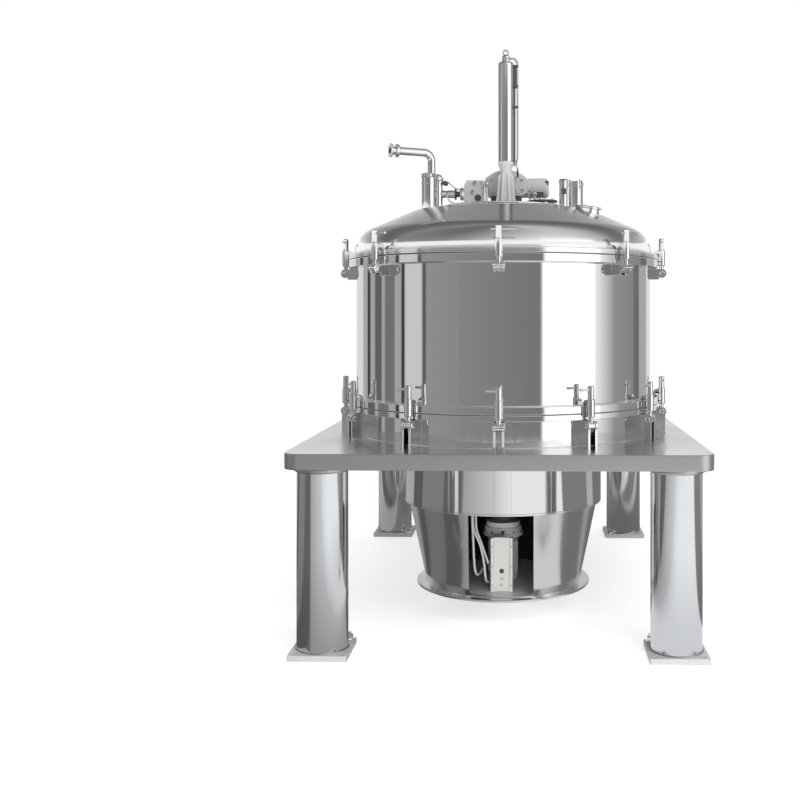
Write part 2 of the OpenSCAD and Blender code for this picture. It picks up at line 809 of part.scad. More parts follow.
module wash_nozzle() {
    color("silver") {
        dome_stub(wash_place, wash_nozzle_d, wash_nozzle_h);
        at_axis(lid_top + wash_nozzle_h - 20) translate([wash_place.x, wash_place.y, 0])
            cylinder(d = wash_nozzle_d + 6, h = 20);
    }
}

// Pipe that rises, turns through a bend and runs level to its ferrule
module pipe_solid(r, extra) {
    rise = wash_run_h - wash_nozzle_h - wash_bend_r;
    translate([0, 0, -extra]) cylinder(r = r, h = rise + extra);
    translate([wash_bend_r, 0, rise]) rotate([90, 0, 0]) rotate([0, 0, 90])
        rotate_extrude(angle = 90) translate([wash_bend_r, 0]) circle(r);
    translate([wash_bend_r, 0, rise + wash_bend_r]) rotate([0, 90, 0])
        cylinder(r = r, h = wash_run_l + extra);
}

module wash_pipe() {
    rise = wash_run_h - wash_nozzle_h;
    color("silver") at_axis(lid_top + wash_nozzle_h) translate([wash_place.x + wash_pipe_x, wash_place.y, 0])
        rotate(wash_run_angle) difference() {
            union() {
                pipe_solid(wash_pipe_d / 2, 0);
                translate([wash_bend_r + wash_run_l - ferrule_t, 0, rise]) rotate([0, 90, 0])
                    cylinder(d = ferrule_d, h = ferrule_t);
            }
            pipe_solid(wash_pipe_d / 2 - wash_pipe_wall, cut);
        }
}

// Small nozzle with a ball body on top and a level spool that ends in a ring
module branch_valve() {
    spool_d = 38;
    spool_l = 108;
    spool_h = 48;
    ring_d = 62;
    color("silver") {
        dome_stub(branch_place, branch_d, branch_h);
        at_axis(lid_top) translate([branch_place.x, branch_place.y, 0]) {
            translate([0, 0, branch_h + 14]) sphere(d = branch_d, $fn = 48);
            translate([0, 0, branch_h - 8]) cylinder(d = branch_d + 10, h = 8);
            translate([0, 0, spool_h]) rotate([0, 90, 0]) cylinder(d = spool_d, h = spool_l);
            translate([spool_l - 26, 0, spool_h]) rotate([0, 90, 0]) cylinder(d = ring_d - 8, h = 8);
            translate([spool_l, 0, spool_h]) rotate([0, 90, 0]) cylinder(d = ring_d, h = 18);
        }
    }
}

module sight_glass() {
    color("silver") {
        dome_stub(sight_place, sight_d, sight_h);
        at_axis(lid_top + sight_h - 22) translate([sight_place.x, sight_place.y, 0])
            cylinder(d = sight_d + 8, h = 12);
    }
}

module sight_lamp() {
    color("dimgray") {
        at_axis(lid_top + lamp_h - 20) translate([lamp_place.x, lamp_place.y, 0])
            cylinder(d = lamp_d + 6, h = 14);
        dome_stub(lamp_place, lamp_d, lamp_h);
    }
}

// Cover that leans outward with the crown's slope
module hand_hole_cover() {
    rise = 10;
    turn = atan2(hand_hole_place.y, hand_hole_place.x);
    color("silver") at_axis() difference() {
        translate([hand_hole_place.x, hand_hole_place.y, dome_z(hand_hole_place)])
            rotate(turn) rotate([0, crown_angle, 0]) {
                translate([0, 0, -2 * rise]) cylinder(d = hand_hole_d - 24, h = 3 * rise + 1);
                translate([0, 0, rise]) cylinder(d = hand_hole_d, h = 12);
            }
        under_lid();
    }
}

platform_deck();
platform_edge();
platform_core();
platform_underplate();
leg(0);  // leg_front_left
leg(1);  // leg_front_right
leg(2);  // leg_rear_left
leg(3);  // leg_rear_right
foot_plates();
drive_housing_drum();
drive_housing_cone();
drive_housing_base();
spindle_tube();
bearing_housing();
drive_motor();
channel_cover();
lube_hoses();
base_ring();
base_lugs();
casing_shell();
casing_flanges();
casing_lugs();
gaskets();
lid_dome();
lid_top_plate();
column_stand();
column_tube();
column_cap();
column_side_pipe();
gear_housing();
gear_motor();
valve_block();
guide_studs();
blind_plate();
wash_nozzle();
wash_pipe();
branch_valve();
sight_glass();
sight_lamp();
hand_hole_cover();
for (i = [1 : lid_clamps]) {
    lid_clamp(i);
}
for (i = [1 : base_clamps]) {
    base_clamp(i);
}
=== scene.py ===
"""Looks of an industrial centrifuge: a polished casing with a dished lid on a platform with four legs."""
import json
import logging
import math
from dataclasses import dataclass, field
from enum import Enum

import bmesh
import bpy
import numpy as np
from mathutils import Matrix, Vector


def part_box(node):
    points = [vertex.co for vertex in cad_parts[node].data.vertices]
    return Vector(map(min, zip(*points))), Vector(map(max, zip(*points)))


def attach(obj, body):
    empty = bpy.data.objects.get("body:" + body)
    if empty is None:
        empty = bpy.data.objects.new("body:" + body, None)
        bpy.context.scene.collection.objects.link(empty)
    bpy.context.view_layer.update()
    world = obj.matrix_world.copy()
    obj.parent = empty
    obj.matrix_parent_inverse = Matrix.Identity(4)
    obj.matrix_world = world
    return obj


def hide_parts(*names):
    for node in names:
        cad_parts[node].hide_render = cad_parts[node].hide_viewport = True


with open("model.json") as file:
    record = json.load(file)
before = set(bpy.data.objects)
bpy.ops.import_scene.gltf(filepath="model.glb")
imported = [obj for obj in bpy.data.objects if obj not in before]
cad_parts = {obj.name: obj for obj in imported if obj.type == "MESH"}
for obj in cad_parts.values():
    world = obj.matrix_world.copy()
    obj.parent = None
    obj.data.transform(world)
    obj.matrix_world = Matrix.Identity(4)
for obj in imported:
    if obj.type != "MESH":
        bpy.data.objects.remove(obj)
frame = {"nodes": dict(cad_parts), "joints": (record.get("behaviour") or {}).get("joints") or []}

LOG = logging.getLogger("centrifuge")
MACHINE = "machine"
FULL_TURN = 2 * math.pi
MM = 0.001


# Surfaces as arrays


@dataclass
class Surface:
    """Points of a surface with its four-sided faces and its larger flat ends.

    Args:
        points: Places of the points, one row each, in metres.
        quads: Indices of the four corners of each face.
        caps: Indices around each flat end.
    """

    points: np.ndarray
    quads: np.ndarray
    caps: list[np.ndarray] = field(default_factory=list)

    @classmethod
    def grid(cls, points: np.ndarray, wrap_rows: bool, wrap_columns: bool) -> "Surface":
        """Joins a grid of points into quads, closing it along rows or columns where asked.

        Args:
            points: Points by row and column.
            wrap_rows: Whether the last row meets the first.
            wrap_columns: Whether the last column meets the first.

        Returns:
            The surface, without caps.
        """
        rows, columns = points.shape[:2]
        index = np.arange(rows * columns).reshape(rows, columns)
        if wrap_rows:
            index = np.vstack([index, index[:1]])
        if wrap_columns:
            index = np.hstack([index, index[:, :1]])
        corners = [index[:-1, :-1], index[:-1, 1:], index[1:, 1:], index[1:, :-1]]
        return cls(points.reshape(-1, 3), np.stack(corners, axis=-1).reshape(-1, 4))

    def placed(self, origin: np.ndarray, axes: np.ndarray) -> "Surface":
        """Returns a copy whose own axes are turned onto the rows of `axes` and moved to `origin`."""
        return Surface(self.points @ np.asarray(axes, float) + np.asarray(origin, float), self.quads, self.caps)

    def moved(self, offset: tuple[float, float, float]) -> "Surface":
        """Returns a copy moved by an offset."""
        return self.placed(np.asarray(offset, float), np.eye(3))


def joined(parts: list[Surface]) -> Surface:
    """Joins surfaces into one by shifting the indices of each past those before it.

    Args:
        parts: Surfaces to join.

    Returns:
        One surface with all their points and faces.
    """
    starts = np.cumsum([0] + [len(part.points) for part in parts[:-1]])
    points = np.concatenate([part.points for part in parts])
    quads = np.concatenate([part.quads.reshape(-1, 4) + start for part, start in zip(parts, starts)])
    caps = [cap + start for part, start in zip(parts, starts) for cap in part.caps]
    return Surface(points, quads, caps)


def unit(vector: np.ndarray) -> np.ndarray:
    """Scales a vector, or each row of an array, to length one."""
    vector = np.asarray(vector, float)
    return vector / np.linalg.norm(vector, axis=-1, keepdims=True)


def rounded(outline: np.ndarray, radius: float | np.ndarray, steps: int = 3) -> np.ndarray:
    """Rounds the corners of a closed outline.

    Each corner becomes a circle's arc, written as a rational curve: its three control points are the
    two tangent points and the corner, and the corner's weight is the sine of half the corner's angle.

    Args:
        outline: Corners of the outline, one row each.
        radius: Radius of every corner, or one radius for each.
        steps: Number of straight pieces in each arc.

    Returns:
        The points of the rounded outline.
    """
    outline = np.asarray(outline, float)
    radius = np.broadcast_to(np.asarray(radius, float), (len(outline),))
    back, ahead = np.roll(outline, 1, axis=0) - outline, np.roll(outline, -1, axis=0) - outline
    reach = 0.49 * np.minimum(np.linalg.norm(back, axis=1), np.linalg.norm(ahead, axis=1))
    back, ahead = unit(back), unit(ahead)
    half = 0.5 * np.arccos(np.clip((back * ahead).sum(1), -1, 1))
    tangent = np.minimum(radius / np.tan(np.maximum(half, 1e-3)), reach)[:, None]
    first, last = outline + back * tangent, outline + ahead * tangent
    s = np.linspace(0, 1, steps + 1)[None, :, None]
    weight = 2 * s * (1 - s) * np.sin(half)[:, None, None]
    total = (1 - s) ** 2 + weight + s**2
    arcs = ((1 - s) ** 2 * first[:, None] + weight * outline[:, None] + s**2 * last[:, None]) / total
    return arcs.reshape(-1, outline.shape[1])


def arc(centre: tuple[float, float], radius: float, start: float, end: float, steps: int) -> np.ndarray:
    """Points on a circle from one angle to another, in degrees from the first axis."""
    angle = np.radians(np.linspace(start, end, steps + 1))
    return np.asarray(centre) + radius * np.stack([np.cos(angle), np.sin(angle)], axis=-1)


def lathe(profile: np.ndarray, segments: int = 192, hollow: bool = True) -> Surface:
    """Turns a profile of radius and height about the upright axis.

    Each point is (r cos a, r sin a, z) over equal steps of the angle a.

    Args:
        profile: Radius and height of each point.
        segments: Number of steps around the axis.
        hollow: True for a closed profile clear of the axis, false for one that starts and ends on it.

    Returns:
        The closed surface.
    """
    angle = np.arange(segments) * FULL_TURN / segments
    ring = np.stack([np.cos(angle), np.sin(angle)], axis=-1)
    flat = profile[None, :, :1] * ring[:, None, :]
    height = np.broadcast_to(profile[None, :, 1:], (segments, len(profile), 1))
    return Surface.grid(np.concatenate([flat, height], axis=-1), True, hollow)


def turned_solid(corners: np.ndarray, radius: float | np.ndarray, segments: int, steps: int = 3) -> Surface:
    """Turns a solid outline that starts and ends on the axis, with its other corners rounded.

    Args:
        corners: Radius and height of each corner.
        radius: Radius of the rounded corners, or one for each.
        segments: Steps around the axis.
        steps: Steps in each rounded corner.

    Returns:
        The closed surface.
    """
    corners = np.asarray(corners, float)
    radii = np.broadcast_to(np.asarray(radius, float), (len(corners),)).copy()
    radii[[0, -1]] = 0
    profile = rounded(corners, radii, steps)
    return lathe(profile[steps:-steps], segments, hollow=False)


def cylinder(radius: float, low: float, high: float, edge: float, segments: int, steps: int = 3) -> Surface:
    """Upright solid cylinder on the axis between two heights, with rounded edges."""
    return turned_solid([(0, low), (radius, low), (radius, high), (0, high)], edge, segments, steps)


def frame_along(direction: np.ndarray) -> np.ndarray:
    """Three axes at right angles, with the third along the direction.

    Args:
        direction: Direction of the third axis.

    Returns:
        The axes, one row each.
    """
    third = unit(direction)
    helper = np.array([0.0, 0.0, 1.0]) if abs(third[2]) < 0.9 else np.array([1.0, 0.0, 0.0])
    first = unit(np.cross(helper, third))
    return np.stack([first, np.cross(third, first), third])


def rod(start: tuple, end: tuple, radius: float, edge: float = 0.001, sides: int = 32) -> Surface:
    """Round bar between two points, with its end edges rounded.

    Args:
        start: Middle of one end.
        end: Middle of the other end.
        radius: Radius of the bar.
        edge: Radius of its end edges.
        sides: Steps around it.

    Returns:
        The closed surface.
    """
    start, end = np.asarray(start, float), np.asarray(end, float)
    length = float(np.linalg.norm(end - start))
    bar = cylinder(radius, 0, length, edge, sides)
    return bar.placed(start, frame_along(end - start))


def spun(corners: list, start: tuple, direction: tuple, edge: float | np.ndarray, sides: int = 48) -> Surface:
    """Solid turned about a line: its corners give radius and distance along the direction."""
    return turned_solid(corners, edge, sides).placed(np.asarray(start, float), frame_along(np.asarray(direction)))


def ring_about(corners: list, edge: float, start: tuple, direction: tuple, sides: int = 64) -> Surface:
    """Hollow ring turned about a line from a closed outline of radius and distance."""
    body = lathe(rounded(np.asarray(corners, float), edge), sides)
    return body.placed(np.asarray(start, float), frame_along(np.asarray(direction)))


def ball(centre: tuple, radius: float, sides: int = 32) -> Surface:
    """Sphere as half a circle turned about the upright axis.

    Args:
        centre: Middle of the sphere.
        radius: Its radius.
        sides: Steps around it.

    Returns:
        The closed surface.
    """
    half = arc((0, 0), radius, -90, 90, sides // 2)
    half[[0, -1], 0] = 0
    return lathe(half, sides, hollow=False).moved(centre)


def tube(path: np.ndarray, radius: float | np.ndarray, sides: int = 24, side_hint: tuple = (0, 1, 0)) -> Surface:
    """Carries a circle along a path and closes its ends.

    The circle's axes at each point are the cross products of the path's direction with a fixed
    vector that the path never runs along.

    Args:
        path: Points of the centre line.
        radius: Radius of the circle, or one for each point.
        sides: Number of points around the circle.
        side_hint: The fixed vector.

    Returns:
        The closed surface.
    """
    path = np.asarray(path, float)
    radius = np.broadcast_to(np.asarray(radius, float), (len(path),))
    along = unit(np.gradient(path, axis=0))
    first = unit(np.cross(along, np.asarray(side_hint, float)))
    second = np.cross(along, first)
    angle = np.arange(sides) * FULL_TURN / sides
    spread = np.cos(angle)[None, :, None] * first[:, None] + np.sin(angle)[None, :, None] * second[:, None]
    rings = path[:, None] + radius[:, None, None] * spread
    ends = np.repeat(path[[0, -1], None], sides, axis=1)
    return Surface.grid(np.concatenate([ends[:1], rings, ends[1:]]), False, True)


def smooth_path(points: list, per_span: int = 8) -> np.ndarray:
    """Curve through every point, each span a cubic set by its two ends and their neighbours.

    Args:
        points: Points that the curve passes.
        per_span: Steps between two of them.

    Returns:
        Points of the curve.
    """
    points = np.asarray(points, float)
    padded = np.vstack([points[:1], points, points[-1:]])
    a, b, c, d = padded[:-3, None], padded[1:-2, None], padded[2:-1, None], padded[3:, None]
    t = np.linspace(0, 1, per_span, endpoint=False)[None, :, None]
    spans = 0.5 * (2 * b + (c - a) * t + (2 * a - 5 * b + 4 * c - d) * t**2 + (3 * b - a - 3 * c + d) * t**3)
    return np.vstack([spans.reshape(-1, 3), points[-1:]])


def slab(outline: np.ndarray, depth: float, edge: float, steps: int = 3) -> Surface:
    """Prism with rounded rims: its outline lies in the first two axes and its depth along the third.

    Rings of the outline stand at quarter-circle steps of the rim. Each is drawn in along the corner
    normals by the edge radius less its sine, while its depth follows the cosine.

    Args:
        outline: Corners in turn, one row each.
        depth: Thickness, half of it on each side of zero.
        edge: Radius of the rims.
        steps: Steps in each rim.

    Returns:
        The closed surface.
    """
    outline = np.asarray(outline, float)
    area = 0.5 * np.sum(np.cross(outline, np.roll(outline, -1, axis=0)))
    if area < 0:
        outline = outline[::-1]
    side = unit(np.roll(outline, -1, axis=0) - outline)
    normal = np.stack([side[:, 1], -side[:, 0]], axis=-1)
    before = np.roll(normal, 1, axis=0)
    corner = (normal + before) / (1 + (normal * before).sum(1, keepdims=True))
    turn = np.linspace(0, math.pi / 2, steps + 1)
    inset = edge * np.concatenate([1 - np.sin(turn), (1 - np.sin(turn))[::-1]])
    height = np.concatenate([-depth / 2 + edge * (1 - np.cos(turn)), depth / 2 - edge * (1 - np.cos(turn))[::-1]])
    flat = outline[None] - corner[None] * inset[:, None, None]
    level = np.broadcast_to(height[:, None, None], flat.shape[:2] + (1,))
    body = Surface.grid(np.concatenate([flat, level], axis=-1), False, True)
    count = len(outline)
    body.caps = [np.arange(count)[::-1], np.arange(count) + (len(height) - 1) * count]
    return body


def block(low: tuple, high: tuple, edge: float, steps: int = 2) -> Surface:
    """Box with every edge rounded, given by two opposite corners.

    Args:
        low: Corner with the smallest coordinates.
        high: The opposite corner.
        edge: Radius of the edges.
        steps: Steps in each rounded edge.

    Returns:
        The closed surface.
    """
    low, high = np.asarray(low, float), np.asarray(high, float)
    size = high - low
    x, y = size[0] / 2, size[1] / 2
    outline = rounded(np.array([(-x, -y), (x, -y), (x, y), (-x, y)]), edge, steps)
    return slab(outline, size[2], edge * 0.98, steps).moved(tuple((low + high) / 2))


def upright(outline: np.ndarray, depth: float, edge: float) -> Surface:
    """Slab stood up, with its outline in X and Z and its depth along Y."""
    axes = np.array([(1, 0, 0), (0, 0, 1), (0, -1, 0)])
    return slab(outline, depth, edge).placed(np.zeros(3), axes)


def around(surface: Surface, angle: float, centre: tuple = (0, 0, 0)) -> Surface:
    """Turns a surface about the upright axis through the origin, then moves it to a centre."""
    c, s = math.cos(angle), math.sin(angle)
    return surface.placed(np.asarray(centre, float), np.array([(c, s, 0), (-s, c, 0), (0, 0, 1)]))


def hex_bolt(place: tuple, direction: tuple, size: float) -> Surface:
    """Hexagon head on a round washer; size is the head's width across its flats.

    Args:
        place: Middle of the washer's underside.
        direction: Where the head points to.
        size: Width across the flats.

    Returns:
        Head and washer as one surface.
    """
    radius = size / math.sqrt(3)
    head = turned_solid([(0, 0), (radius, 0), (radius, 0.62 * size), (0.8 * radius, 0.68 * size), (0, 0.68 * size)],
                        0.02 * size, 6, 1)
    washer = cylinder(1.35 * radius, 0, 0.14 * size, 0.02 * size, 20, 1)
    bolt = joined([washer, head.moved((0, 0, 0.13 * size))])
    return bolt.placed(np.asarray(place, float), frame_along(np.asarray(direction)))


# Finishes


class NodeSheet:
    """Adds and wires the nodes of one material."""

    def __init__(self, name: str) -> None:
        """Starts an empty material with its output node.

        Args:
            name: Name of the material.
        """
        self.material = bpy.data.materials.new(name)
        self.material.use_nodes = True
        self.tree = self.material.node_tree
        self.tree.nodes.clear()
        self.output = self.tree.nodes.new("ShaderNodeOutputMaterial")

    def add(self, kind: str, settings: dict | None = None, **inputs: object) -> bpy.types.Node:
        """Adds a node, gives its settings, and sets or wires its inputs by name.

        Args:
            kind: Type of the node.
            settings: Its settings by name.
            **inputs: Its inputs by name with _ for a blank, or by i and a number.

        Returns:
            The new node.
        """
        node = self.tree.nodes.new(kind)
        for key, value in (settings or {}).items():
            setattr(node, key, value)
        for key, value in inputs.items():
            socket = node.inputs[int(key[1:])] if key[0] == "i" and key[1:].isdigit() else node.inputs[
                key.replace("_", " ")]
            if isinstance(value, bpy.types.NodeSocket):
                self.tree.links.new(value, socket)
            else:
                socket.default_value = value
        return node

    def noise(self, scale: tuple[float, float, float], detail: float = 2.0) -> bpy.types.NodeSocket:
        """Noise stretched by a scale along each of the object's own axes.

        Args:
            scale: Scale along each axis.
            detail: Number of finer layers.

        Returns:
            The noise's output.
        """
        place = self.add("ShaderNodeTexCoord")
        mapping = self.add("ShaderNodeMapping", Vector=place.outputs["Object"], Scale=scale)
        return self.add("ShaderNodeTexNoise", Vector=mapping.outputs[0], Scale=1.0, Detail=detail).outputs["Fac"]

    def ranged(self, value: bpy.types.NodeSocket, low: float, high: float) -> bpy.types.NodeSocket:
        """Spreads a noise's usual span of 0.3 to 0.7 over a new range."""
        node = self.add("ShaderNodeMapRange", i0=value, i1=0.3, i2=0.7, i3=low, i4=high)
        return node.outputs[0]

    def blended(self, factor: bpy.types.NodeSocket, first: tuple, second: tuple) -> bpy.types.NodeSocket:
        """Mixes two colours by a factor."""
        node = self.add("ShaderNodeMix", {"data_type": "RGBA"}, i0=factor, i6=first, i7=second)
        return node.outputs[2]

    def bump(self, height: bpy.types.NodeSocket, strength: float, distance: float) -> bpy.types.NodeSocket:
        """Bump from a height."""
        node = self.add("ShaderNodeBump", Height=height, Strength=strength, Distance=distance)
        return node.outputs[0]

    def finish(self, shader: bpy.types.Node) -> bpy.types.Material:
        """Wires the shader to the output and returns the material."""
        self.tree.links.new(shader.outputs[0], self.output.inputs[0])
        return self.material


@dataclass(frozen=True)
class Finish:
    """A finish that makes its material once and keeps it."""

    name: str

    def material(self) -> bpy.types.Material:
        """Returns the finish's material, made at its first use."""
        return bpy.data.materials.get(self.name) or self.build(NodeSheet(self.name))

    def build(self, sheet: NodeSheet) -> bpy.types.Material:
        """Makes the material's nodes."""
        raise NotImplementedError


@dataclass(frozen=True)
class PolishedSteel(Finish):
    """Mirror polished stainless steel with faint upright polishing lines and a slightly uneven sheet."""

    tone: tuple[float, float, float] = (0.80, 0.80, 0.795)
    roughness: float = 0.05
    spread: float = 0.05
    wave: float = 0.012

    def build(self, sheet: NodeSheet) -> bpy.types.Material:
        """Roughness follows stretched noise; a broad noise bends the reflections a little.

        Args:
            sheet: Sheet that takes the nodes.

        Returns:
            The finished material.
        """
        lines = sheet.noise((70.0, 70.0, 0.8), 3.0)
        clouds = sheet.noise((2.1, 2.1, 1.3), 3.0)
        rough = sheet.add("ShaderNodeMath", {"operation": "ADD"}, i0=sheet.ranged(lines, 0.0, self.spread),
                          i1=sheet.ranged(clouds, self.roughness * 0.7, self.roughness * 1.5)).outputs[0]
        tone = sheet.blended(clouds, (*[v * 0.97 for v in self.tone], 1), (*self.tone, 1))
        normal = sheet.bump(sheet.noise((1.4, 1.4, 0.5), 1.0), self.wave, 0.05)
        shader = sheet.add("ShaderNodeBsdfPrincipled", Base_Color=tone, Metallic=1.0, Roughness=rough, Normal=normal)
        return sheet.finish(shader)


@dataclass(frozen=True)
class SatinSteel(Finish):
    """Brushed stainless steel whose grain runs along one axis."""

    tone: tuple[float, float, float] = (0.60, 0.60, 0.605)
    roughness: float = 0.34
    grain: tuple[float, float, float] = (2.0, 320.0, 320.0)
    depth: float = 0.06

    def build(self, sheet: NodeSheet) -> bpy.types.Material:
        """Grain from noise stretched along the brushing, with broad clouds in tone and roughness.

        Args:
            sheet: Sheet that takes the nodes.

        Returns:
            The finished material.
        """
        grain = sheet.noise(self.grain, 2.0)
        clouds = sheet.noise((3.0, 3.0, 3.0), 4.0)
        rough = sheet.add("ShaderNodeMath", {"operation": "ADD"}, i0=sheet.ranged(grain, -0.04, 0.05),
                          i1=sheet.ranged(clouds, self.roughness - 0.04, self.roughness + 0.04)).outputs[0]
        tone = sheet.blended(clouds, (*[v * 0.93 for v in self.tone], 1), (*self.tone, 1))
        normal = sheet.bump(grain, self.depth, 0.0004)
        shader = sheet.add("ShaderNodeBsdfPrincipled", Base_Color=tone, Metallic=1.0, Roughness=rough, Normal=normal)
        return sheet.finish(shader)


@dataclass(frozen=True)
class SoftMatt(Finish):
    """Rubber, paint or plastic with a mottled tone and a fine grained face."""

    dark: tuple[float, float, float] = (0.02, 0.02, 0.022)
    light: tuple[float, float, float] = (0.05, 0.05, 0.052)
    roughness: float = 0.6
    grain: float = 240.0
    relief: float = 0.15
    gloss: float = 0.5

    def build(self, sheet: NodeSheet) -> bpy.types.Material:
        """Tone from clouds, bump from fine grain.

        Args:
            sheet: Sheet that takes the nodes.

        Returns:
            The finished material.
        """
        clouds = sheet.noise((9.0, 9.0, 9.0), 4.0)
        grain = sheet.noise((self.grain,) * 3, 2.0)
        tone = sheet.blended(clouds, (*self.dark, 1), (*self.light, 1))
        rough = sheet.ranged(clouds, self.roughness - 0.08, self.roughness + 0.08)
        normal = sheet.bump(grain, self.relief, 0.0006)
        shader = sheet.add("ShaderNodeBsdfPrincipled", Base_Color=tone, Roughness=rough, Normal=normal,
                           Specular_IOR_Level=self.gloss)
        return sheet.finish(shader)


@dataclass(frozen=True)
class DarkGlass(Finish):
    """Black glass of a sight port."""

    def build(self, sheet: NodeSheet) -> bpy.types.Material:
        """Dark glossy face under a clear coat with faint smears.

        Args:
            sheet: Sheet that takes the nodes.

        Returns:
            The finished material.
        """
        smear = sheet.noise((30.0, 30.0, 30.0), 4.0)
        shader = sheet.add("ShaderNodeBsdfPrincipled", Base_Color=(0.006, 0.007, 0.009, 1.0),
                           Roughness=sheet.ranged(smear, 0.03, 0.12), Coat_Weight=0.6)
        return sheet.finish(shader)


class Finishes(Enum):
    """The finishes that the machine wears."""

    CASING = PolishedSteel("polished_casing", roughness=0.03, spread=0.03, wave=0.010)
    DOME = PolishedSteel("polished_lid", roughness=0.12, spread=0.03, wave=0.016)
    FITTING = PolishedSteel("polished_fitting", roughness=0.06, spread=0.03, wave=0.0)
    DECK = PolishedSteel("polished_deck", tone=(0.84, 0.84, 0.835), roughness=0.22, spread=0.02, wave=0.002)
    LEG = PolishedSteel("polished_leg", tone=(0.80, 0.82, 0.845), roughness=0.08, spread=0.04, wave=0.004)
    BAND = SatinSteel("satin_band", tone=(0.55, 0.55, 0.555), depth=0.02)
    # painted shade: a very dark satin finish stands for the shade inside the closed housing, where little light gets
    # in
    INNER_SHADE = SatinSteel("painted_shade_inner", tone=(0.10, 0.10, 0.105), roughness=0.55, grain=(60.0, 60.0, 60.0))
    CAST = SoftMatt("grey_machine_paint", dark=(0.50, 0.50, 0.497), light=(0.63, 0.63, 0.626), roughness=0.40,
                    grain=300.0, relief=0.08)
    CONE = PolishedSteel("polished_cone", roughness=0.15, spread=0.05, wave=0.012)
    BLASTED = SoftMatt("blasted_steel", dark=(0.60, 0.60, 0.597), light=(0.72, 0.72, 0.716), roughness=0.28,
                       grain=400.0, relief=0.05, gloss=0.8)
    RUBBER = SoftMatt("gasket_rubber", gloss=0.3)
    PAINT = SoftMatt("dark_paint", dark=(0.010, 0.010, 0.011), light=(0.022, 0.022, 0.024), roughness=0.45, gloss=0.15)
    HOSE = SoftMatt("light_hose", dark=(0.55, 0.55, 0.53), light=(0.72, 0.72, 0.70), roughness=0.35)
    PALE = SoftMatt("pale_machine_paint", dark=(0.72, 0.715, 0.69), light=(0.82, 0.815, 0.79), roughness=0.42,
                    grain=420.0, relief=0.05)
    GLASS = DarkGlass("black_glass")


# Pieces


def weld(surface: Surface) -> tuple[np.ndarray, list[list[int]]]:
    """Merges points that share a place and drops the repeated corners this leaves in faces.

    Args:
        surface: The surface to merge.

    Returns:
        The points and the faces.
    """
    keys = np.round(surface.points / 2e-6).astype(np.int64)
    _, first, inverse = np.unique(keys, axis=0, return_index=True, return_inverse=True)
    inverse = inverse.reshape(-1)
    quads = inverse[surface.quads]
    kept = quads != np.roll(quads, -1, axis=1)
    whole = quads[kept.all(1)]
    triangles = quads[kept.sum(1) == 3]
    triangles = triangles[kept[kept.sum(1) == 3]].reshape(-1, 3)
    caps = [inverse[cap] for cap in surface.caps]
    faces = whole.tolist() + triangles.tolist() + [cap[cap != np.roll(cap, 1)].tolist() for cap in caps]
    return surface.points[first], faces


@dataclass
class PieceMaker:
    """Turns surfaces into finished objects of the scene."""

    sharp: float = 38.0
    made: int = 0

    def piece(self, name: str, parts: list[tuple[Surface, Finishes]], body: str = MACHINE,
              stands_for: tuple[str, ...] = ()) -> bpy.types.Object:
        """Makes one object, dresses it and ties it to its body.

        Its normals are weighted by the faces' areas, so that long runs mirror straight up to their rounded rims.

        Args:
            name: The object's name.
            parts: Surfaces with the finish that each wears.
            body: Body that it moves with.
            stands_for: CAD nodes that it is shown in place of.

        Returns:
            The new object.
        """
        mesh = bpy.data.meshes.new(name)
        places, faces, slots, order = [], [], [], []
        for surface, finish in parts:
            if finish not in order:
                order.append(finish)
            points, part_faces = weld(surface)
            start = sum(len(p) for p in places)
            faces.extend([[i + start for i in face] for face in part_faces])
            slots.extend([order.index(finish)] * len(part_faces))
            places.append(points)
        mesh.from_pydata(np.concatenate(places).tolist(), [], faces)
        for finish in order:
            mesh.materials.append(finish.value.material())
        mesh.polygons.foreach_set("material_index", slots)
        self.orient(mesh)
        mesh.shade_smooth()
        mesh.set_sharp_from_angle(angle=math.radians(self.sharp))
        mesh.validate()
        obj = bpy.data.objects.new(name, mesh)
        bpy.context.scene.collection.objects.link(obj)
        runs = obj.modifiers.new("straight_runs", "WEIGHTED_NORMAL")
        runs.mode, runs.keep_sharp = "FACE_AREA", True
        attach(obj, body)
        if stands_for:
            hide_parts(*stands_for)
        self.made += 1
        LOG.info("piece %s: %d faces on %s", name, len(mesh.polygons), body)
        return obj

    @staticmethod
    def orient(mesh: bpy.types.Mesh) -> None:
        """Turns every closed part's faces outwards.

        Args:
            mesh: Mesh to change.
        """
        edit = bmesh.new()
        edit.from_mesh(mesh)
        bmesh.ops.recalc_face_normals(edit, faces=edit.faces)
        edit.to_mesh(mesh)
        edit.free()

    @staticmethod
    def dress(node: str, finish: Finishes) -> None:
        """Gives a carried-over node its finish.

        Args:
            node: Name of the node.
            finish: Finish that it wears.
        """
        obj = frame["nodes"][node]
        obj.data.materials.clear()
        obj.data.materials.append(finish.value.material())


@dataclass
class Datum:
    """Places that every sub-assembly shares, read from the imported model."""

    axis: tuple[float, float] = (0.0, 0.0)
    deck: float = 0.0
    under: float = 0.0
    lid_top: float = 0.0

    @classmethod
    def read(cls) -> "Datum":
        """Reads the casing's axis and the main heights.

        Returns:
            The places of this machine.
        """
        low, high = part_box("lid_top_plate")
        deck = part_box("platform_deck")[1].z
        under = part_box("platform_underplate")[0].z
        return cls(((low.x + high.x) / 2, (low.y + high.y) / 2), deck, under, high.z)

    def at(self, surface: Surface, height: float = 0.0) -> Surface:
        """Moves a surface from the casing's axis at ground level to its place."""
        return surface.moved((self.axis[0], self.axis[1], height))


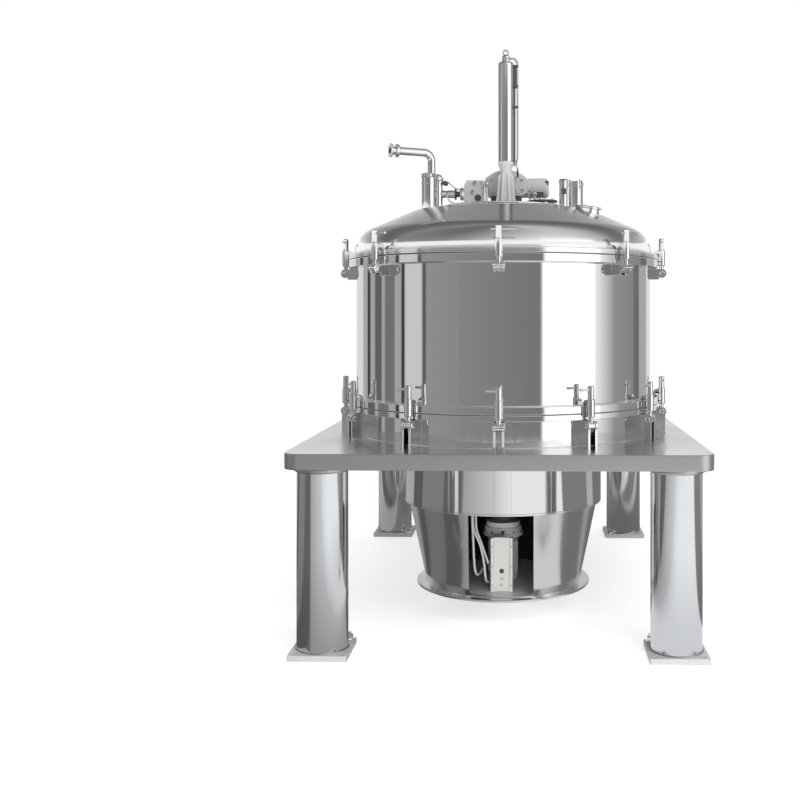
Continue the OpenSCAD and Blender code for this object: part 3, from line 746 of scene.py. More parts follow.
@dataclass
class SubAssembly:
    """Group of pieces that shares the machine's main places and the maker of its pieces.

    Args:
        datum: Places that every sub-assembly shares.
        maker: What turns surfaces into objects of the scene.
    """

    datum: Datum
    maker: PieceMaker

    def put(self, node: str, parts: list[tuple[Surface, Finishes]], height: float = 0.0) -> None:
        """Moves parts from the casing's axis to the machine and makes the piece for one node."""
        moved = [(self.datum.at(surface, height), finish) for surface, finish in parts]
        self.maker.piece(f"{node}_skin", moved, stands_for=(node,))

    def put_on_lid(self, node: str, place: tuple[float, float], parts: list[tuple[Surface, Finishes]]) -> None:
        """Puts the parts of one node on the lid's top, at a place measured from the casing's axis."""
        self.put(node, [(surface.moved((*place, 0)), finish) for surface, finish in parts], self.datum.lid_top)


@dataclass
class Platform(SubAssembly):
    """Thick plate on four round legs with square foot plates."""

    corner: float = 0.070
    edge: float = 0.004
    leg_radius: float = 0.1095
    collar_radius: float = 0.124
    collar: float = 0.016
    foot: float = 0.025
    foot_size: float = 0.250
    stud_inset: float = 0.027
    bolt: float = 0.030

    def build(self) -> None:
        """Makes the plate, the legs and the feet."""
        self.plate()
        for name in ("leg_front_left", "leg_front_right", "leg_rear_left", "leg_rear_right"):
            self.leg(name)
        self.anchors()
        # painted shade: the platform's core wears the very dark finish that stands for the shade inside the housing
        self.maker.dress("platform_core", Finishes.INNER_SHADE)
        self.maker.dress("platform_underplate", Finishes.BAND)
        self.maker.dress("foot_plates", Finishes.CAST)

    def plate(self) -> None:
        """Deck and band as one skin with softly broken edges; the deck's face is brighter."""
        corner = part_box("platform_deck")[1]
        x, y = corner.x, corner.y
        outline = rounded(np.array([(-x, -y), (x, -y), (x, y), (-x, y)]), self.corner, 16)
        body = slab(outline, self.datum.deck - self.datum.under, self.edge, 4)
        body = body.moved((0, 0, (self.datum.deck + self.datum.under) / 2))
        top = Surface(body.points, np.zeros((0, 4), int), [body.caps[1]])
        sides = Surface(body.points, body.quads, [body.caps[0]])
        self.maker.piece("platform_skin", [(sides, Finishes.BAND), (top, Finishes.DECK)],
                         stands_for=("platform_deck", "platform_edge"))

    def leg(self, node: str) -> None:
        """Round leg with its collar and a weld bead at each end.

        Args:
            node: Node of the leg.
        """
        low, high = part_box(node)
        x, y = (low.x + high.x) / 2, (low.y + high.y) / 2
        r, c = self.leg_radius, self.collar_radius
        top = high.z - self.collar
        pipe = cylinder(r, low.z, top, 0.001, 128)
        collar = cylinder(c, top, high.z, 0.003, 128)
        beads = [self.bead(r, low.z), self.bead(r, top, -1)]
        parts = [(pipe, Finishes.LEG), (collar, Finishes.BAND)] + [(bead, Finishes.BAND) for bead in beads]
        parts = [(surface.moved((x, y, 0)), finish) for surface, finish in parts]
        self.maker.piece(f"{node}_skin", parts, stands_for=(node,))

    @staticmethod
    def bead(radius: float, height: float, side: int = 1) -> Surface:
        """Fillet weld around a leg: a small ring whose radius ripples along the seam.

        Args:
            radius: Radius of the leg.
            height: Height of the seam.
            side: 1 above the seam, -1 below it.

        Returns:
            The closed surface.
        """
        angle = np.arange(256) * FULL_TURN / 256
        ripple = 0.0045 + 0.0006 * np.sin(64 * angle)
        turn = np.arange(8) * FULL_TURN / 8
        r = radius + ripple[:, None] * np.cos(turn)[None]
        z = height + side * 0.001 + ripple[:, None] * np.sin(turn)[None]
        points = np.stack([r * np.cos(angle)[:, None], r * np.sin(angle)[:, None], z], axis=-1)
        return Surface.grid(points, True, True)

    def anchors(self) -> None:
        """Anchor stud with its nut at the corner of each foot plate nearest the machine's middle."""
        low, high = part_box("foot_plates")
        reach = self.foot_size - self.stud_inset
        parts = []
        for x in (reach - high.x, high.x - reach):
            for y in (low.y + reach, high.y - reach):
                parts.append((hex_bolt((x, y, self.foot), (0, 0, 1), self.bolt), Finishes.FITTING))
                parts.append((rod((x, y, 0.002), (x, y, self.foot + 0.034), 0.009), Finishes.FITTING))
        self.maker.piece("foot_anchors", parts)


@dataclass
class Casing(SubAssembly):
    """Base ring, casing wall and their flanges, with the gaskets between them."""

    radius: float = 0.731
    wall: float = 0.008
    flange: float = 0.769
    bore: float = 0.713
    base_flange: float = 0.026
    low_flange: float = 0.034
    top_flange: float = 0.037
    seal: float = 0.003
    edge: float = 0.0025
    segments: int = 256

    def build(self) -> None:
        """Makes each ring of the stack."""
        self.base()
        self.shell()
        self.gaskets()

    def turned(self, corners: list, edge: float | np.ndarray) -> Surface:
        """Turns a closed section about the casing's axis."""
        return self.datum.at(lathe(rounded(np.asarray(corners, float), edge, 4), self.segments))

    def base(self) -> None:
        """Short wall on the deck under its flange."""
        low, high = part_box("base_ring")
        under = high.z - self.base_flange
        inner = self.radius - self.wall
        section = [(inner, low.z), (self.radius, low.z), (self.radius, under), (self.flange, under),
                   (self.flange, high.z), (self.bore, high.z), (self.bore, under), (inner, under)]
        parts = [(self.turned(section, self.edge), Finishes.CASING),
                 (self.datum.at(self.seam(self.radius, low.z)), Finishes.CASING)]
        self.maker.piece("base_ring_skin", parts, stands_for=("base_ring",))

    def shell(self) -> None:
        """Tall wall between two flanges, with a fine weld where it meets each of them."""
        low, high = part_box("casing_flanges")
        step_low, step_high = low.z + self.low_flange, high.z - self.top_flange
        inner = self.radius - self.wall
        section = [(self.bore, low.z), (self.flange, low.z), (self.flange, step_low), (self.radius, step_low),
                   (self.radius, step_high), (self.flange, step_high), (self.flange, high.z), (self.bore, high.z),
                   (self.bore, step_high), (inner, step_high), (inner, step_low), (self.bore, step_low)]
        parts = [(self.turned(section, self.edge), Finishes.CASING)]
        parts += [(self.datum.at(self.seam(self.radius, z)), Finishes.CASING) for z in (step_low, step_high)]
        self.maker.piece("casing_skin", parts, stands_for=("casing_shell", "casing_flanges"))

    @staticmethod
    def seam(radius: float, height: float) -> Surface:
        """Fine fillet weld in the corner of wall and flange, as a thin ring of round section."""
        return lathe(arc((radius, height), 0.0035, 0, 330, 11), 256)

    def gaskets(self) -> None:
        """Two dark seals that show as lines between the flanges, a little inside their rims."""
        low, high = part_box("gaskets")
        rim = self.flange - 0.002
        rings = [self.turned([(self.bore, z), (rim, z), (rim, z + self.seal), (self.bore, z + self.seal)], 0.0005)
                 for z in (low.z, high.z - self.seal)]
        self.maker.piece("gasket_rings", [(ring, Finishes.RUBBER) for ring in rings], stands_for=("gaskets",))


@dataclass
class Lid(SubAssembly):
    """Dished lid with its flange and the flat plate on its top."""

    casing: Casing
    edge_radius: float = 0.740
    flange: float = 0.024
    straight: float = 0.010
    knuckle: float = 0.123
    slope: float = 24.2
    crown: float = 2.690
    crown_edge: float = 0.455
    bend: float = 0.060
    wall: float = 0.008
    plate: float = 0.308

    def heights(self, seat: float) -> tuple[float, float]:
        """Returns the height where flank and crown meet, and the height of the crown's centre.

        Args:
            seat: Height of the flange's upper face.

        Returns:
            The two heights.
        """
        slope = math.radians(self.slope)
        flank_x = self.edge_radius - self.knuckle * (1 - math.sin(slope))
        flank_z = seat + self.straight + self.knuckle * math.cos(slope)
        meet = flank_z + math.tan(slope) * (flank_x - self.crown_edge)
        return meet, meet - math.sqrt(self.crown**2 - self.crown_edge**2)

    def height(self, radius: float, seat: float) -> float:
        """Height of the outer face on the crown at a radius."""
        return self.heights(seat)[1] + math.sqrt(self.crown**2 - radius**2)

    def line(self, seat: float) -> np.ndarray:
        """Outer section from under the plate to the rim: crown arc, short bend, straight flank, knuckle arc.

        Args:
            seat: Height of the flange's upper face.

        Returns:
            Radius and height of each point.
        """
        meet, centre = self.heights(seat)
        turn = math.degrees(math.asin(self.crown_edge / self.crown))
        cut = self.bend * math.tan(math.radians(self.slope - turn) / 2)
        slope = math.radians(self.slope)
        inner = math.degrees(math.acos(self.plate / self.crown))
        outer = math.degrees(math.acos((self.crown_edge - cut * math.cos(math.radians(turn))) / self.crown))
        crown = arc((0, centre), self.crown, inner, outer, 10)
        corner = np.array([self.crown_edge, meet])
        leave = corner + cut * np.array([math.cos(slope), -math.sin(slope)])
        s = np.linspace(0, 1, 9)[1:, None]
        bend = (1 - s) ** 2 * crown[-1] + 2 * s * (1 - s) * corner + s**2 * leave
        knuckle = arc((self.edge_radius - self.knuckle, seat + self.straight), self.knuckle, 90 - self.slope, 0, 20)
        flank = leave + np.linspace(0, 1, 7)[1:-1, None] * (knuckle[0] - leave)
        return np.vstack([crown, bend, flank, knuckle])

    def inset(self, line: np.ndarray) -> np.ndarray:
        """Moves a section inwards by the wall along its normals."""
        along = unit(np.gradient(line, axis=0))
        return line + self.wall * np.stack([along[:, 1], -along[:, 0]], axis=-1)

    def build(self) -> None:
        """Makes the dome and its plate."""
        low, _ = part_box("lid_dome")
        plate_low, plate_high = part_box("lid_top_plate")
        seat = low.z + self.flange
        outer = self.line(seat)
        inner = self.inset(outer)
        rim = rounded(np.array([(self.edge_radius, seat + 0.004), (self.edge_radius, seat), (self.casing.flange, seat),
                                (self.casing.flange, low.z), (self.casing.bore, low.z), (self.casing.bore, seat),
                                (self.edge_radius - self.wall, seat), (self.edge_radius - self.wall, seat + 0.004)]),
                      np.array([0, 0.003, 0.0025, 0.0025, 0.001, 0.001, 0.001, 0]), 4)
        dome = self.datum.at(lathe(np.vstack([outer, rim, inner[::-1]]), self.casing.segments))
        self.maker.piece("lid_skin", [(dome, Finishes.DOME)], stands_for=("lid_dome",))
        plate = cylinder(self.plate, plate_low.z, plate_high.z, 0.003, self.casing.segments, 4)
        self.maker.piece("lid_plate_skin", [(self.datum.at(plate), Finishes.DOME)], stands_for=("lid_top_plate",))


@dataclass
class Clamp:
    """Swing clamp, drawn standing on its pin at the origin with the casing towards -X."""

    eye: float = 0.017
    bore: float = 0.00805
    eye_width: float = 0.024
    stem: float = 0.011
    sleeve: float = 0.018
    sleeve_low: float = 0.036
    sleeve_high: float = 0.118
    screw: float = 0.014
    height: float = 0.175
    handle_height: float = 0.157
    handle: float = 0.006
    seat: float = 0.0863
    claw_reach: float = 0.047
    claw_top: float = 0.1123
    claw_width: float = 0.026

    def surfaces(self, handle: float, stub: float, side: int) -> list[Surface]:
        """Eye, stem, sleeve, screw, tee handle and claw of one clamp.

        Args:
            handle: Length of the tee handle from the clamp's axis.
            stub: Its length on the other side.
            side: 1 or -1 for the side that the handle points to.

        Returns:
            The closed surfaces.
        """
        half = self.eye_width / 2
        eye = ring_about([(self.bore, -half), (self.eye, -half), (self.eye, half), (self.bore, half)], 0.0015,
                         (0, 0, 0), (0, 1, 0), 48)
        stem = cylinder(self.stem, 0.010, self.sleeve_low + 0.002, 0.0005, 40)
        sleeve = turned_solid([
            (0, self.sleeve_low), (self.sleeve - 0.004, self.sleeve_low), (self.sleeve, self.sleeve_low + 0.005),
            (self.sleeve, self.sleeve_high - 0.003), (self.screw, self.sleeve_high), (0, self.sleeve_high),
        ], 0.0015, 48)
        screw = turned_solid([
            (0, self.sleeve_high - 0.002), (self.screw, self.sleeve_high - 0.002), (self.screw, self.height - 0.004),
            (self.screw - 0.004, self.height), (0, self.height),
        ], 0.0015, 48)
        bar = rod((0, -side * stub, self.handle_height), (0, side * handle, self.handle_height), self.handle,
                  0.0015, 24)
        return [eye, stem, sleeve, screw, bar, self.claw()]

    def claw(self) -> Surface:
        """Arched claw from the sleeve down to its seat on the flange.

        Returns:
            The closed surface.
        """
        tip, seat, top = -self.claw_reach, self.seat, self.claw_top
        outer = arc((tip + 0.024, seat + 0.004), 0.022, 172, 95, 6)
        outline = np.vstack([
            [(tip + 0.014, seat), (tip, seat)],
            outer,
            [(-0.010, top), (-0.010, seat + 0.002)],
            arc((tip + 0.024, seat), 0.0095, 60, 150, 4),
        ])
        return upright(rounded(outline, 0.0012, 2), self.claw_width, 0.002)


@dataclass
class ClampRing(SubAssembly):
    """Ring of clamps with their lugs around one flange pair."""

    clamp: Clamp
    kind: str
    lug_node: str
    handle: float
    stub: float
    side: int
    foot_out: float
    wall: float = 0.731
    ear: float = 0.012
    ear_radius: float = 0.022
    gap: float = 0.0123
    pin: float = 0.008

    def build(self) -> None:
        """Makes every clamp at its joint's pin and every lug under it."""
        joints = [joint for joint in frame["joints"] if joint["child"].startswith(f"{self.kind}_clamp_")]
        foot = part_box(self.lug_node)[0].z
        lugs = []
        for joint in joints:
            place = np.asarray(joint["pos_m"], float)
            angle = math.atan2(place[1] - self.datum.axis[1], place[0] - self.datum.axis[0])
            reach = math.hypot(place[1] - self.datum.axis[1], place[0] - self.datum.axis[0])
            parts = [(around(part, angle, tuple(place)), Finishes.FITTING)
                     for part in self.clamp.surfaces(self.handle, self.stub, self.side)]
            self.maker.piece(f"{joint['child']}_skin", parts, body=joint["child"], stands_for=(joint["child"],))
            lugs.extend((around(part, angle, tuple(place)), Finishes.FITTING)
                        for part in self.lug(place[2] - foot, self.wall - reach))
        self.maker.piece(f"{self.lug_node}_skin", lugs, stands_for=(self.lug_node,))

    def lug(self, foot: float, wall: float) -> list[Surface]:
        """Two ears from the wall to the pin, and the pin with its domed heads.

        Args:
            foot: Height of the pin above the ears' lower edge.
            wall: Place of the wall along X from the pin.

        Returns:
            The closed surfaces.
        """
        start = -math.degrees(math.acos(self.foot_out / self.ear_radius))
        outline = np.vstack([
            [(wall - 0.001, -foot), (self.foot_out, -foot)],
            arc((0, 0), self.ear_radius, start, 90, 16),
            [(wall - 0.001, self.ear_radius)],
        ])
        ears = [upright(outline, self.ear, 0.0015).moved((0, side * (self.gap + self.ear / 2), 0)) for side in (-1, 1)]
        face = self.gap + self.ear
        shaft = rod((0, -face, 0), (0, face, 0), self.pin)
        heads = [spun([(0, 0), (0.013, 0), (0.013, 0.0012), (0.009, 0.0042), (0, 0.0046)], (0, side * face, 0),
                      (0, side, 0), 0.001, 32) for side in (-1, 1)]
        return ears + [shaft] + heads


@dataclass
class Column(SubAssembly):
    """Fluted stand with its tall tube, the cap with its eye, and the thin pipe beside it."""

    place: tuple[float, float] = (0.014, 0.0)
    foot: float = 0.059
    stand: float = 0.229
    core_low: float = 0.034
    core_top: float = 0.027
    rib: float = 0.0095
    ribs: int = 8
    tube: float = 0.0395
    height: float = 0.503
    shoulder: float = 0.014
    ring: float = 0.0125
    wire: float = 0.0045
    pipe: float = 0.0055
    pipe_out: float = 0.059

    def build(self) -> None:
        """Makes the stand, the tube, the cap and the pipe."""
        self.fluted_stand()
        tube = turned_solid([(0, self.stand), (self.tube, self.stand), (self.tube, self.stand + self.height),
                             (0, self.stand + self.height)], np.array([0, 0.001, self.shoulder, 0]), 96, 8)
        self.put_on_lid("column_tube", self.place, [(tube, Finishes.FITTING)])
        self.cap()
        self.side_pipe()

    def fluted_stand(self) -> None:
        """Foot, tapering core with upright ribs around it, and the collar under the tube."""
        foot_top, collar = 0.014, self.stand - 0.016
        mid = foot_top + (collar - foot_top) / 3
        foot = cylinder(self.foot, 0, foot_top, 0.002, 96)
        core = turned_solid([(0, 0.012), (self.core_low, 0.012), (self.core_top + 0.003, 0.150),
                             (self.core_top, collar), (0, collar)], 0.0005, 64)
        head = turned_solid([(0, collar - 0.030), (self.core_top, collar - 0.030), (self.tube - 0.002, collar),
                             (self.tube, collar + 0.003), (self.tube, self.stand), (0, self.stand)], 0.003, 96, 4)
        crest = collar - 0.036
        outline = rounded(np.array([(0.002, foot_top - 0.002), (0.0565, foot_top - 0.002), (0.0510, foot_top + 0.030),
                                    (0.0455, mid + 0.010), (0.0425, crest - 0.030), (0.0330, crest),
                                    (0.002, crest)]), 0.009, 5)
        rib = upright(outline, self.rib, 0.0040)
        turns = (np.arange(self.ribs) + 0.5) * FULL_TURN / self.ribs
        parts = [(foot, Finishes.FITTING), (core, Finishes.CAST), (head, Finishes.BLASTED)]
        parts += [(around(rib, turn), Finishes.BLASTED) for turn in turns]
        parts += [(hex_bolt((0.050 * math.cos(turn), 0.050 * math.sin(turn), foot_top), (0, 0, 1), 0.009),
                   Finishes.FITTING) for turn in turns + math.pi / self.ribs]
        parts.append((hex_bolt((-0.031, -0.014, 0.170), (-0.3, -1, 0), 0.010), Finishes.FITTING))
        self.put_on_lid("column_stand", self.place, parts)

    def cap(self) -> None:
        """Stepped cap with a nut below its lifting eye."""
        base = self.stand + self.height
        steps = [(0, -0.001), (0.021, -0.001), (0.021, 0.009), (0.0175, 0.011), (0.0175, 0.016), (0.0205, 0.018),
                 (0.0205, 0.027), (0.014, 0.034), (0, 0.034)]
        body = turned_solid(steps, 0.0012, 64).moved((0, 0, base))
        nut = cylinder(0.0195, 0, 0.006, 0.0008, 6, 1).moved((0, 0, base + 0.011))
        circle = arc((self.ring, 0), self.wire, 0, 345, 23)
        eye = lathe(circle, 64).placed(np.array([0, 0, base + 0.034 + self.ring]), frame_along(np.array([0, 1.0, 0])))
        self.put_on_lid("column_cap", self.place, [(surface, Finishes.FITTING) for surface in (body, nut, eye)])

    def side_pipe(self) -> None:
        """Thin pipe with its clips, the dark conduit beside the tube, and its links at top and bottom."""
        out, top = self.pipe_out, self.stand + self.height + 0.017
        low = self.stand - 0.040
        rise = np.array([(out, 0, low), (out, 0, 0.40), (out, 0, top - 0.040), (out - 0.001, 0, top - 0.024),
                         (out - 0.008, 0, top - 0.008), (out - 0.019, 0, top), (0.030, 0, top), (0.018, 0, top)])
        pipe = tube(smooth_path(list(rise), 6), self.pipe, 24)
        tail = tube(smooth_path([(out, 0, low + 0.012), (out, 0.004, low - 0.002), (out, 0.016, low - 0.014),
                                 (out, 0.040, low - 0.020), (out, 0.088, low - 0.020)], 6), 0.0045, 20, (1, 0, 0))
        nut = spun([(0, 0), (0.0095, 0), (0.0095, 0.044), (0, 0.044)], (out, 0, low + 0.008), (0, 0, 1), 0.001, 6)
        conduit = rod((self.tube + 0.0046, 0, low + 0.020), (self.tube + 0.0046, 0, 0.610), 0.0042)
        strip = block((self.tube - 0.002, -0.004, 0.600), (out - 0.001, 0.004, top - 0.030), 0.001)
        stub = rod((0.030, 0, self.stand - 0.010), (out, 0, self.stand - 0.010), 0.007)
        clips = [block((self.tube - 0.001, -0.007, z), (out + 0.003, 0.007, z + 0.012), 0.0015)
                 for z in (0.604, 0.704, 0.500)]
        parts = [(pipe, Finishes.FITTING), (tail, Finishes.PAINT), (nut, Finishes.FITTING), (strip, Finishes.PAINT),
                 (conduit, Finishes.PAINT), (stub, Finishes.FITTING)] + [(clip, Finishes.PAINT) for clip in clips]
        self.put_on_lid("column_side_pipe", self.place, parts)


@dataclass
class LidFittings(SubAssembly):
    """Everything that stands on the lid beside the column; places are measured from the casing's axis."""

    lid: Lid
    gear_place: tuple[float, float] = (0.014, 0.150)
    gear_width: float = 0.218
    gear_height: float = 0.204
    gear_base: float = 0.070
    gear_crown: float = 0.150
    gear_depth: float = 0.130
    motor_height: float = 0.115
    motor_radius: float = 0.052
    block_place: tuple[float, float] = (-0.147, 0.036)
    studs: tuple[tuple[float, float, float], ...] = ((-0.082, -0.024, 0.119), (0.158, -0.030, 0.066))
    blind_place: tuple[float, float] = (0.196, -0.105)
    wash_place: tuple[float, float] = (-0.352, -0.230)
    wash_offset: float = 0.013
    wash_radius: float = 0.019
    wash_wall: float = 0.0025
    wash_top: float = 0.140
    wash_level: float = 0.238
    wash_bend: float = 0.040
    wash_run: float = 0.168
    wash_angle: float = 205.0
    branch_place: tuple[float, float] = (-0.313, -0.165)
    sight_place: tuple[float, float] = (0.360, -0.118)
    lamp_place: tuple[float, float] = (0.298, -0.152)
    hand_place: tuple[float, float] = (0.413, -0.252)

    def build(self) -> None:
        """Makes each fitting."""
        for make in (self.gear, self.gear_motor, self.block, self.guide_studs, self.blind, self.wash_nozzle,
                     self.wash_pipe, self.branch, self.sight, self.lamp, self.hand_hole):
            make()

    def foot(self, place: tuple[float, float], radius: float) -> float:
        """Height, from the lid's top, of a stub's foot just inside the dome.

        Args:
            place: Place of the stub on the lid.
            radius: Radius of the stub.

        Returns:
            The height.
        """
        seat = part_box("lid_dome")[0].z + self.lid.flange
        outer = min(math.hypot(*place) + radius, self.lid.crown_edge + 0.05)
        return self.lid.height(outer, seat) - self.datum.lid_top - 0.006

    @staticmethod
    def bolt_circle(radius: float, height: float, count: int, size: float, turn: float = 0.0) -> list[Surface]:
        """Hexagon bolts standing on a circle."""
        angles = turn + np.arange(count) * FULL_TURN / count
        return [hex_bolt((radius * math.cos(a), radius * math.sin(a), height), (0, 0, 1), size) for a in angles]

    def gear(self) -> None:
        """Crowned gear housing on a narrower dark block that paints the shade in the gap under it, with front cover,
        cover bolts and feet.
        """
        half, crown = self.gear_width / 2, self.gear_height - self.gear_crown

        def outline(inset: float) -> np.ndarray:
            """Feet corners and the arc over the top, drawn in by an inset.

            Args:
                inset: How far it is drawn in.

            Returns:
                The points in turn.
            """
            reach = half - inset
            edge = math.degrees(math.acos(reach / (self.gear_crown - inset)))
            top = arc((0, crown), self.gear_crown - inset, edge, 180 - edge, 24)
            low = self.gear_base + inset
            return np.vstack([[(-reach + 0.020, low), (reach - 0.030, low), (reach, low + 0.016)], top,
                              [(-reach, low + 0.016)]])

        body = upright(rounded(outline(0.0), 0.004, 3), self.gear_depth - 0.010, 0.004)
        cover = upright(rounded(outline(0.012), 0.003, 3), self.gear_depth, 0.003)
        # painted shade: the dark block between feet and housing stands for the shaded gap under the housing
        base = block((-half + 0.030, -0.055, 0.010), (half - 0.030, 0.055, self.gear_base + 0.010), 0.006)
        foot = block((-half + 0.011, -0.073, 0.0), (half - 0.011, 0.073, 0.014), 0.003)
        neck = spun([(0, 0), (0.048, 0), (0.048, 0.031), (0, 0.031)], (half - 0.028, 0, self.motor_height), (1, 0, 0),
                    0.002, 96)
        bolts = [hex_bolt((x, -self.gear_depth / 2 + 0.001, z), (0, -1, 0), 0.010)
                 for x, z in ((-0.084, 0.100), (0.082, 0.100), (-0.080, 0.148), (0.080, 0.148), (-0.046, 0.096),
                              (0.046, 0.096))]
        bolts += [hex_bolt((x, -0.066, 0.014), (0, 0, 1), 0.014) for x in (-0.090, -0.055, 0.040, 0.062, 0.090)]
        parts = [(body, Finishes.CAST), (cover, Finishes.CAST), (base, Finishes.PAINT), (foot, Finishes.CAST),
                 (neck, Finishes.CAST)] + [(bolt, Finishes.FITTING) for bolt in bolts]
        self.put_on_lid("gear_housing", self.gear_place, parts)

    def gear_motor(self) -> None:
        """Smooth motor with grooves at its shields, a tapered end and a terminal box underneath."""
        start = self.gear_width / 2 + 0.004
        r = self.motor_radius
        profile = [(0, 0), (r, 0), (r, 0.010), (r - 0.0015, 0.011), (r - 0.0015, 0.014), (r, 0.015), (r, 0.086),
                   (r - 0.0015, 0.087), (r - 0.0015, 0.089), (r, 0.090), (r - 0.011, 0.106), (0, 0.106)]
        body = spun(profile, (start, 0, self.motor_height), (1, 0, 0), 0.0008, 96)
        cap = spun([(0, 0), (0.026, 0), (0.022, 0.0045), (0, 0.005)], (start + 0.102, 0, self.motor_height), (1, 0, 0),
                   0.001, 48)
        box = block((start + 0.018, -0.048, self.motor_height - 0.050),
                    (start + 0.078, -0.014, self.motor_height - 0.022), 0.004)
        patch = block((start + 0.086, -0.046, self.motor_height + 0.010),
                      (start + 0.104, -0.020, self.motor_height + 0.034), 0.004)
        bolts = [hex_bolt((start + 0.006, (r - 0.001) * math.cos(a), self.motor_height + (r - 0.001) * math.sin(a)),
                          (0, math.cos(a), math.sin(a)), 0.007) for a in np.radians([200, 250, 290, 340])]
        parts = [(body, Finishes.CAST), (cap, Finishes.PAINT), (box, Finishes.PAINT), (patch, Finishes.PAINT)]
        self.put_on_lid("gear_motor", self.gear_place, parts + [(bolt, Finishes.FITTING) for bolt in bolts])

    def block(self) -> None:
        """Valve block with a chamfered shoulder, two bright screws, a dark side fitting and its base."""
        outline = rounded(np.array([(-0.050, 0.0), (0.050, 0.0), (0.050, 0.139), (-0.037, 0.139), (-0.050, 0.113)]),
                          0.003, 3)
        body = upright(outline, 0.070, 0.0025)
        plugs = [hex_bolt((x, -0.0345, z), (0, -1, 0), 0.016) for x, z in ((0.006, 0.124), (-0.005, 0.080))]
        plugs += [hex_bolt((x, -0.034, z), (0, -1, 0), 0.008)
                  for x, z in ((0.036, 0.126), (0.036, 0.030), (-0.036, 0.030))]
        dark = block((-0.0495, -0.030, 0.070), (-0.0440, 0.030, 0.112), 0.002)
        # painted shade: a dark disc just proud of the face stands for the shade in a round recess
        recess_shade_disc = spun([(0, 0), (0.017, 0), (0.017, 0.003), (0, 0.003)], (0.020, -0.0345, 0.050), (0, -1, 0), 0.001, 40)
        parts = [(body, Finishes.CAST), (dark, Finishes.PAINT), (recess_shade_disc, Finishes.PAINT)]
        self.put_on_lid("valve_block", self.block_place, parts + [(plug, Finishes.FITTING) for plug in plugs])

    def guide_studs(self) -> None:
        """Two bright studs with a hexagon foot, a lock nut and a ball at the top."""
        parts = []
        for x, y, top in self.studs:
            foot = cylinder(0.0135, 0, 0.008, 0.0008, 6, 1)
            shaft = rod((0, 0, 0.002), (0, 0, top), 0.006)
            nut = cylinder(0.0105, top - 0.020, top - 0.012, 0.0008, 6, 1)
            arm = rod((-0.015, 0, top - 0.004), (0.011, 0, top - 0.004), 0.005)
            knob = ball((0, 0, top), 0.0118)
            tip = rod((0, 0, top), (0, 0, top + 0.0118), 0.0035)
            pieces = [foot, shaft, nut, knob, tip] + ([arm] if top > 0.1 else [])
            parts += [(piece.moved((x, y, 0)), Finishes.FITTING) for piece in pieces]
        self.put_on_lid("guide_studs", (0, 0), parts)

    def blind(self) -> None:
        """Dark blind plate on its bright ring, with bolts around it."""
        ring = cylinder(0.048, 0, 0.014, 0.0015, 96)
        plate = cylinder(0.075, 0.014, 0.0215, 0.002, 96)
        bolts = self.bolt_circle(0.061, 0.0205, 6, 0.011, 0.4)
        self.put_on_lid("blind_plate", self.blind_place, [(ring, Finishes.FITTING), (plate, Finishes.PAINT)]
                 + [(bolt, Finishes.FITTING) for bolt in bolts])

    def wash_nozzle(self) -> None:
        """Tall nozzle with its weld, a clamp union at the top and the reducer that carries the pipe."""
        low, top = self.foot(self.wash_place, 0.035), self.wash_top
        neck = cylinder(0.035, low, top - 0.019, 0.0005, 96)
        band = turned_solid([(0, top - 0.020), (0.036, top - 0.020), (0.038, top - 0.016), (0.038, top - 0.011),
                             (0.0355, top - 0.0105), (0.0355, top - 0.0085), (0.038, top - 0.008),
                             (0.037, top - 0.003), (0.030, top), (0, top)], 0.0008, 96)
        screw = rod((-0.006, -0.0365, top - 0.0145), (0.012, -0.0365, top - 0.0145), 0.0032)
        lug = block((-0.008, -0.0385, top - 0.019), (-0.002, -0.0335, top - 0.010), 0.001)
        twin = block((0.004, -0.0385, top - 0.019), (0.010, -0.0335, top - 0.010), 0.001)
        girdle = cylinder(0.0375, top - 0.054, top - 0.044, 0.0018, 96)
        fan = rounded(np.array([(-0.013, -0.008), (0.013, -0.008), (0.006, 0.010), (-0.006, 0.010)]), 0.003, 3)
        wing = upright(fan, 0.006, 0.0015).moved((0.024, -0.030, top - 0.014))
        parts = [(piece, Finishes.FITTING) for piece in (neck, band, girdle, wing, screw, lug, twin)]
        self.put_on_lid("wash_nozzle", self.wash_place, parts)

    def wash_pipe(self) -> None:
        """Open pipe that rises, bends and runs level to its ferrule; its wall is one closed skin."""
        rise = self.wash_level - self.wash_top - self.wash_bend
        heading = math.radians(self.wash_angle)
        end = self.wash_bend + self.wash_run
        turn = np.radians(np.linspace(0, 90, 25))[1:-1]
        bend = np.stack([self.wash_bend * (1 - np.cos(turn)), rise + self.wash_bend * np.sin(turn)], axis=-1)
        line = np.vstack([[(0, 0), (0, rise * 0.5), (0, rise)], bend,
                          [(self.wash_bend, rise + self.wash_bend), (end - 0.03, rise + self.wash_bend),
                           (end, rise + self.wash_bend)]])
        path = np.stack([line[:, 0], np.zeros(len(line)), line[:, 1]], axis=-1)
        skin = self.walled(path, self.wash_radius, self.wash_wall)
        level = rise + self.wash_bend
        grip = ring_about([(self.wash_radius - 0.001, 0), (0.029, 0), (0.031, 0.003), (0.031, 0.014), (0.029, 0.017),
                           (self.wash_radius - 0.001, 0.017)], 0.0008, (end - 0.042, 0, level), (1, 0, 0), 72)
        bore, lip = self.wash_radius - self.wash_wall, 0.034
        ferrule = ring_about([(bore, 0), (self.wash_radius + 0.001, 0), (lip - 0.001, 0.007), (lip, 0.0105),
                              (lip, 0.014),
                              (lip - 0.005, 0.014), (lip - 0.006, 0.0128), (lip - 0.009, 0.0128), (lip - 0.010, 0.014),
                              (bore, 0.014)], 0.0005, (end - 0.0139, 0, level), (1, 0, 0), 72)
        parts = [(around(surface, heading), Finishes.FITTING) for surface in (skin, grip, ferrule)]
        parts = [(surface.moved((self.wash_offset, 0, self.wash_top + 0.0002)), finish) for surface, finish in parts]
        self.put_on_lid("wash_pipe", self.wash_place, parts)

